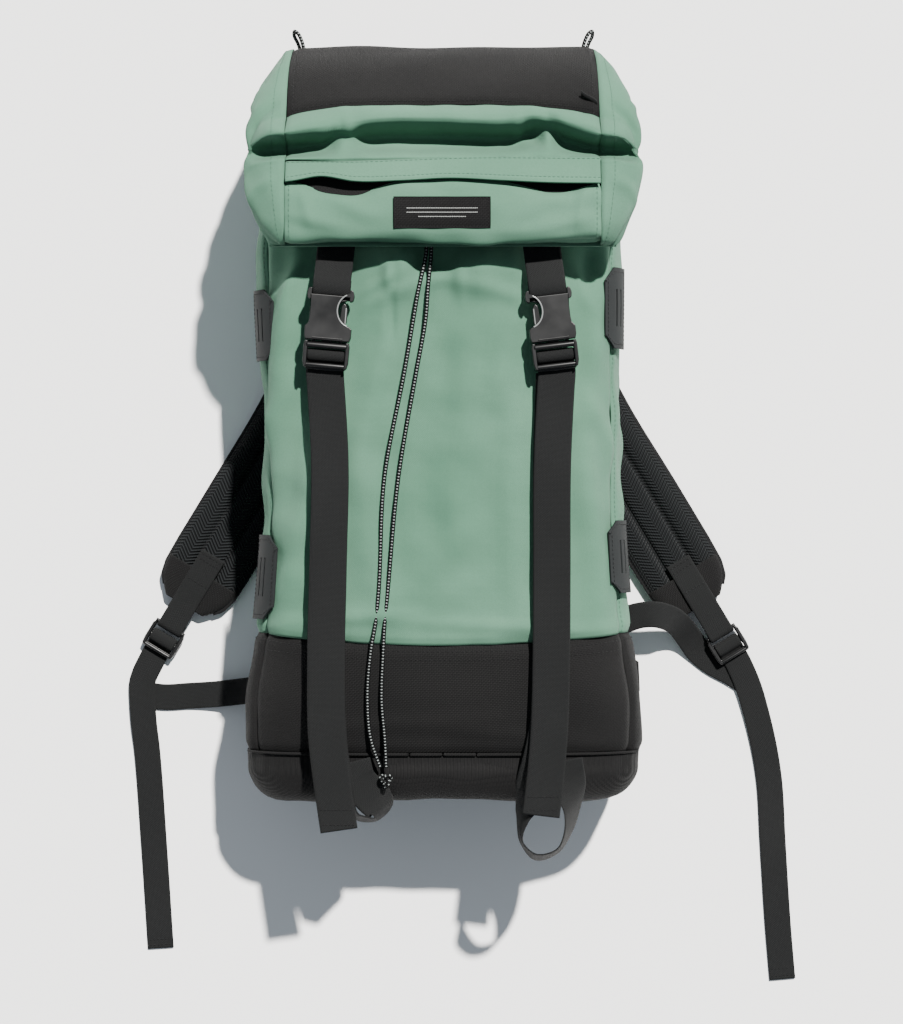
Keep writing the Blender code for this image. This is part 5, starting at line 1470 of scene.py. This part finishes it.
def makeLocks():
    # slotted plate with three round bars and two rails
    for hand in ("left", "right"):
        outer = roundedLoop(((-0.0122, -0.01), (0.0122, -0.01), (0.013, -0.004), (0.0128, 0.008), (0.0108, 0.0122),
                             (-0.0108, 0.0122), (-0.0128, 0.008), (-0.013, -0.004)), 0.0022)
        upper = roundedLoop(((-0.01, 0.0024), (0.01, 0.0024), (0.01, 0.009), (-0.01, 0.009)), 0.001)
        lower = roundedLoop(((-0.01, -0.0066), (0.01, -0.0066), (0.01, -0.0024), (-0.01, -0.0024)), 0.001)
        parts = [flatPart("lockPlate", [outer, upper, lower], 0.0038, 0.007, 0.0006)]
        x = np.linspace(-0.0118, 0.0118, 20)
        for y, z, radius in ((0.0106, 0.0072, 0.0014), (-0.0084, 0.0072, 0.0013), (0.0, 0.0066, 0.0011)):
            parts.append(roundTube("lockBar", np.stack([x, 0 * x + y, z - 0.0005 * (x / 0.0118) ** 2], 1), radius, 16,
                                   bucklePlastic))
        for side in (1, -1):
            rail = roundedLoop(((0.0101, -0.0095), (0.0124, -0.0085), (0.0128, 0.008), (0.0101, 0.0118)), 0.0006)
            parts.append(flatPart("lockRail", [handed(rail, side)], 0.004, 0.0088, 0.0006))
        piece = joinPieces(f"ladderLock{hand.title()}", parts)
        turnPlace(piece, harness["locks"][hand], harness["lockAngles"][hand] - 180)
        settle(piece, f"lock_{hand}", f"ladder_lock_{hand}")


makeLocks()
tabPath = ((-0.072, 0.0127), (-0.05, 0.0127), (-0.044, 0.0124), (-0.033, 0.0114), (-0.022, 0.0106),
           (-0.013, 0.0102), (-0.0098, 0.0099), (-0.0083, 0.0087), (-0.0077, 0.0064), (-0.0078, 0.004),
           (-0.0088, 0.0027), (-0.0104, 0.0024), (-0.016, 0.0024))
lockWrap = ((0.0012, 0.0012), (-0.0018, 0.0012), (-0.0036, 0.0018), (-0.0044, 0.0036), (-0.0044, 0.0058),
            (-0.0036, 0.0076), (-0.0018, 0.0081), (0.0016, 0.0081), (0.0034, 0.0074), (0.0042, 0.0056),
            (0.0052, 0.0036), (0.007, 0.0029), (0.0125, 0.0028))
strapTails = {
    "left": ((-0.219, -0.18, 0.0029), (-0.2195, -0.2045, 0.003), (-0.2165, -0.2345, 0.0018),
             (-0.2117, -0.301, 0.001), (-0.2066, -0.3785, 0.001)),
    "right": ((0.22, -0.18, 0.0029), (0.2262, -0.199, 0.0022), (0.237, -0.248, 0.0012),
              (0.2408, -0.3047, 0.001), (0.2444, -0.3617, 0.001), (0.2477, -0.4012, 0.001)),
}
lowerStraps = {
    "left": (((-0.137, -0.1885, 0.02), (-0.15, -0.1905, 0.0125), (-0.165, -0.1925, 0.006),
              (-0.185, -0.194, 0.0016), (-0.205, -0.195, 0.0012), (-0.217, -0.1935, 0.0012)),
             ((0, -1, 0), (0, -1, 0), (0.1, -1, 0), (0.1, -1, 0), (0, -1, 0), (0, -1, 0))),
    "right": (((0.118, -0.144, 0.0262), (0.129, -0.1385, 0.029), (0.14, -0.1345, 0.032),
               (0.152, -0.1335, 0.0335), (0.162, -0.136, 0.029), (0.171, -0.142, 0.019),
               (0.1785, -0.151, 0.008), (0.187, -0.1622, 0.0018), (0.1978, -0.1705, 0.0012),
               (0.21, -0.177, 0.0012), (0.2205, -0.1835, 0.0012)),
              ((-0.3, 1, 0), (-0.3, 1, 0), (-0.2, 1, 0.1), (0.1, 1, 0.1), (0.4, 1, 0), (0.75, 0.75, 0),
               (0.85, 0.6, 0), (0.8, 0.65, 0), (0.6, 0.8, 0), (0.5, 0.85, 0), (0.5, 0.85, 0))),
}


def makeHarnessWebbing():
    # on each side: sewn tab, tail through the lock, lower webbing from the bag to the lock, and a tapered wing
    wide, thick = web["strapWide"], web["strapThick"]
    for hand in ("left", "right"):
        title = hand.title()
        points, sides = lockFrame(hand, tabPath)
        _, path, side = webPiece(f"shoulderTab{title}", points, sides, wide, thick, f"shoulder_tab_{hand}",
                                 f"shoulder_{hand}")
        crossStitch(f"shoulderTabStitch{title}", path, side, wide, f"shoulder_{hand}", (0.05, 0.09, 0.3))
        points, sides = lockFrame(hand, lockWrap)
        tail = alongCurve([points[-1], *strapTails[hand]], np.linspace(0.02, 1, 14))
        tailSides = np.cross(np.gradient(tail, axis=0), (0, 0, 1))
        _, path, side = webPiece(f"strapTail{title}", [*points, *map(tuple, tail)],
                                 [*(-np.array(sides)), *unit(tailSides)], wide, thick, f"strap_tail_{hand}",
                                 f"lock_{hand}")
        crossStitch(f"strapTailStitch{title}", path, side, wide, f"lock_{hand}", (0.975, 0.992), up=0.0006)
        points, sides = lowerStraps[hand]
        piece, path, side = webPiece(f"lowerStrap{title}", points, sides, wide, thick, f"lower_strap_{hand}", None)
        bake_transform(piece)
    for hand, route in (("left", ((-0.124, -0.1885, 0.0225), (-0.13, -0.1885, 0.0225), (-0.1355, -0.1885, 0.0235))),
                        ("right", ((0.124, -0.18, 0.0225), (0.131, -0.179, 0.0225), (0.1415, -0.1785, 0.0235)))):
        u, top = oblongRound(40)
        shape = np.stack([u * 0.017, top * 0.0011 * np.clip(1 - np.abs(u) ** 10, 0.05, 1) ** 0.5], 1)
        path = alongCurve(route, np.linspace(0, 1, 24))
        wing = sweepMesh(f"lowerWing{hand.title()}", path, (0, 1, 0), shape, blackCloth,
                         np.stack([np.linspace(1.3, 0.62, 24), np.ones(24)], 1))
        settle(wing, "pack", f"lower_wing_{hand}")


makeHarnessWebbing()
print("harness made")

backPad = {"half": 0.066, "low": -0.215, "high": 0.03, "seamZ": 0.0064, "rise": 0.0062, "channel": 0.55}
hingeStrip = {"half": 0.085, "thick": 0.0012,
              "route": ((0, 0.1918, 0.0115), (0, 0.206, 0.0148), (0, 0.2205, 0.0262), (0, 0.2302, 0.0395))}
eyelet = {"at": (-0.009, 0.1995, 0.118), "radius": 0.0036, "wire": 0.0008, "tilt": 38}
frameSheet = {"corners": ((-0.068, -0.205), (0.068, -0.205), (0.068, 0.165), (-0.068, 0.165)), "round": 0.012,
              "z": (0.0152, 0.0164)}


def makeBack():
    # pad seen from behind: closed pillow with four sewn columns, resting flat at z = 0
    rows, cols = 150, 110
    v = np.linspace(-1, 1, rows)[:, None]
    u = np.linspace(-1, 1, cols)[None]
    edge = np.clip(1 - np.abs(u) ** 10, 0, 1) ** 0.5 * np.clip(1 - np.abs(v) ** 16, 0, 1) ** 0.5
    channel = np.exp(-((np.abs(np.abs(u) - 0.5)) / 0.03) ** 2) + np.exp(-(u / 0.03) ** 2)
    taper = 1 - 0.3 * np.clip((v - 0.75) / 0.25, 0, 1) ** 2
    x = u * backPad["half"] * taper
    y = (backPad["low"] + backPad["high"]) / 2 + v * (backPad["high"] - backPad["low"]) / 2
    seam = backPad["seamZ"]
    low = seam - seam * edge * (1 - backPad["channel"] * np.clip(channel, 0, 1) * (np.abs(v) < 0.93))
    high = seam + backPad["rise"] * edge
    under = np.stack([x, y + 0 * x, low], -1)
    over = np.stack([x, y + 0 * x, high], -1)
    uv = np.stack([x, y + 0 * x], -1)
    count = rows * cols
    faces = np.concatenate([gridFaces(rows, cols)[:, ::-1], gridFaces(rows, cols) + count])
    r, c = np.arange(rows - 1), np.arange(cols - 1)
    rim = [np.stack([c, c + 1, c + 1 + count, c + count], 1),
           np.stack([c + (rows - 1) * cols + 1, c + (rows - 1) * cols, c + (rows - 1) * cols + count,
                     c + (rows - 1) * cols + 1 + count], 1),
           np.stack([(r + 1) * cols, r * cols, r * cols + count, (r + 1) * cols + count], 1),
           np.stack([r * cols + cols - 1, (r + 1) * cols + cols - 1, (r + 1) * cols + cols - 1 + count,
                     r * cols + cols - 1 + count], 1)]
    pad = makeMesh("backPad", np.concatenate([under.reshape(-1, 3), over.reshape(-1, 3)]),
                   np.concatenate([faces, *rim]), np.concatenate([uv.reshape(-1, 2)] * 2), herringbone)
    fixNormals(pad)
    settle(pad, "pack", "back_pad")
    outline = np.concatenate([under[0, :], under[:, -1], under[-1, ::-1], under[::-1, 0]])
    outline = outline[::3]
    outline[:, 2] = 0.0066
    keep = np.r_[True, np.linalg.norm(np.diff(outline, axis=0), axis=1) > 1e-5]
    tape = roundTube("backPadBinding", outline[keep], 0.0024, 12, bindingTape)
    settle(tape, "pack")
    # cloth strip that hinges the lid
    path = alongCurve(hingeStrip["route"], np.linspace(0, 1, 40))
    x = np.linspace(-hingeStrip["half"], hingeStrip["half"], 90)
    grid = path[:, None] + x[None, :, None] * np.array((1.0, 0, 0))
    grid = grid + rippleField(grid[..., 0], grid[..., 1], 71, 5, 0.05, 0.0005)[..., None] * (0, 0, 1)
    strip = clothSheet("lidHingeStrip", grid, blackCloth, (0, 0.15, 0.08), hingeStrip["thick"])
    settle(strip, "pack", "lid_hinge_strip")
    a = np.linspace(0, 2 * np.pi, 90)
    tilt = math.radians(eyelet["tilt"])
    ring = np.stack([np.cos(a), np.sin(a) * math.cos(tilt), -np.sin(a) * math.sin(tilt)], 1)
    metalRing = roundTube("cordEyelet", ring * eyelet["radius"] + eyelet["at"], eyelet["wire"], 12, darkMetal)
    settle(metalRing, "pack", "cord_eyelet")
    outline = roundedLoop(frameSheet["corners"], frameSheet["round"])
    sheetPart = flatPart("frameSheet", [outline], *frameSheet["z"], 0.0003, darkPlastic)
    settle(sheetPart, "pack", "frame_sheet")


makeBack()
print("back made")
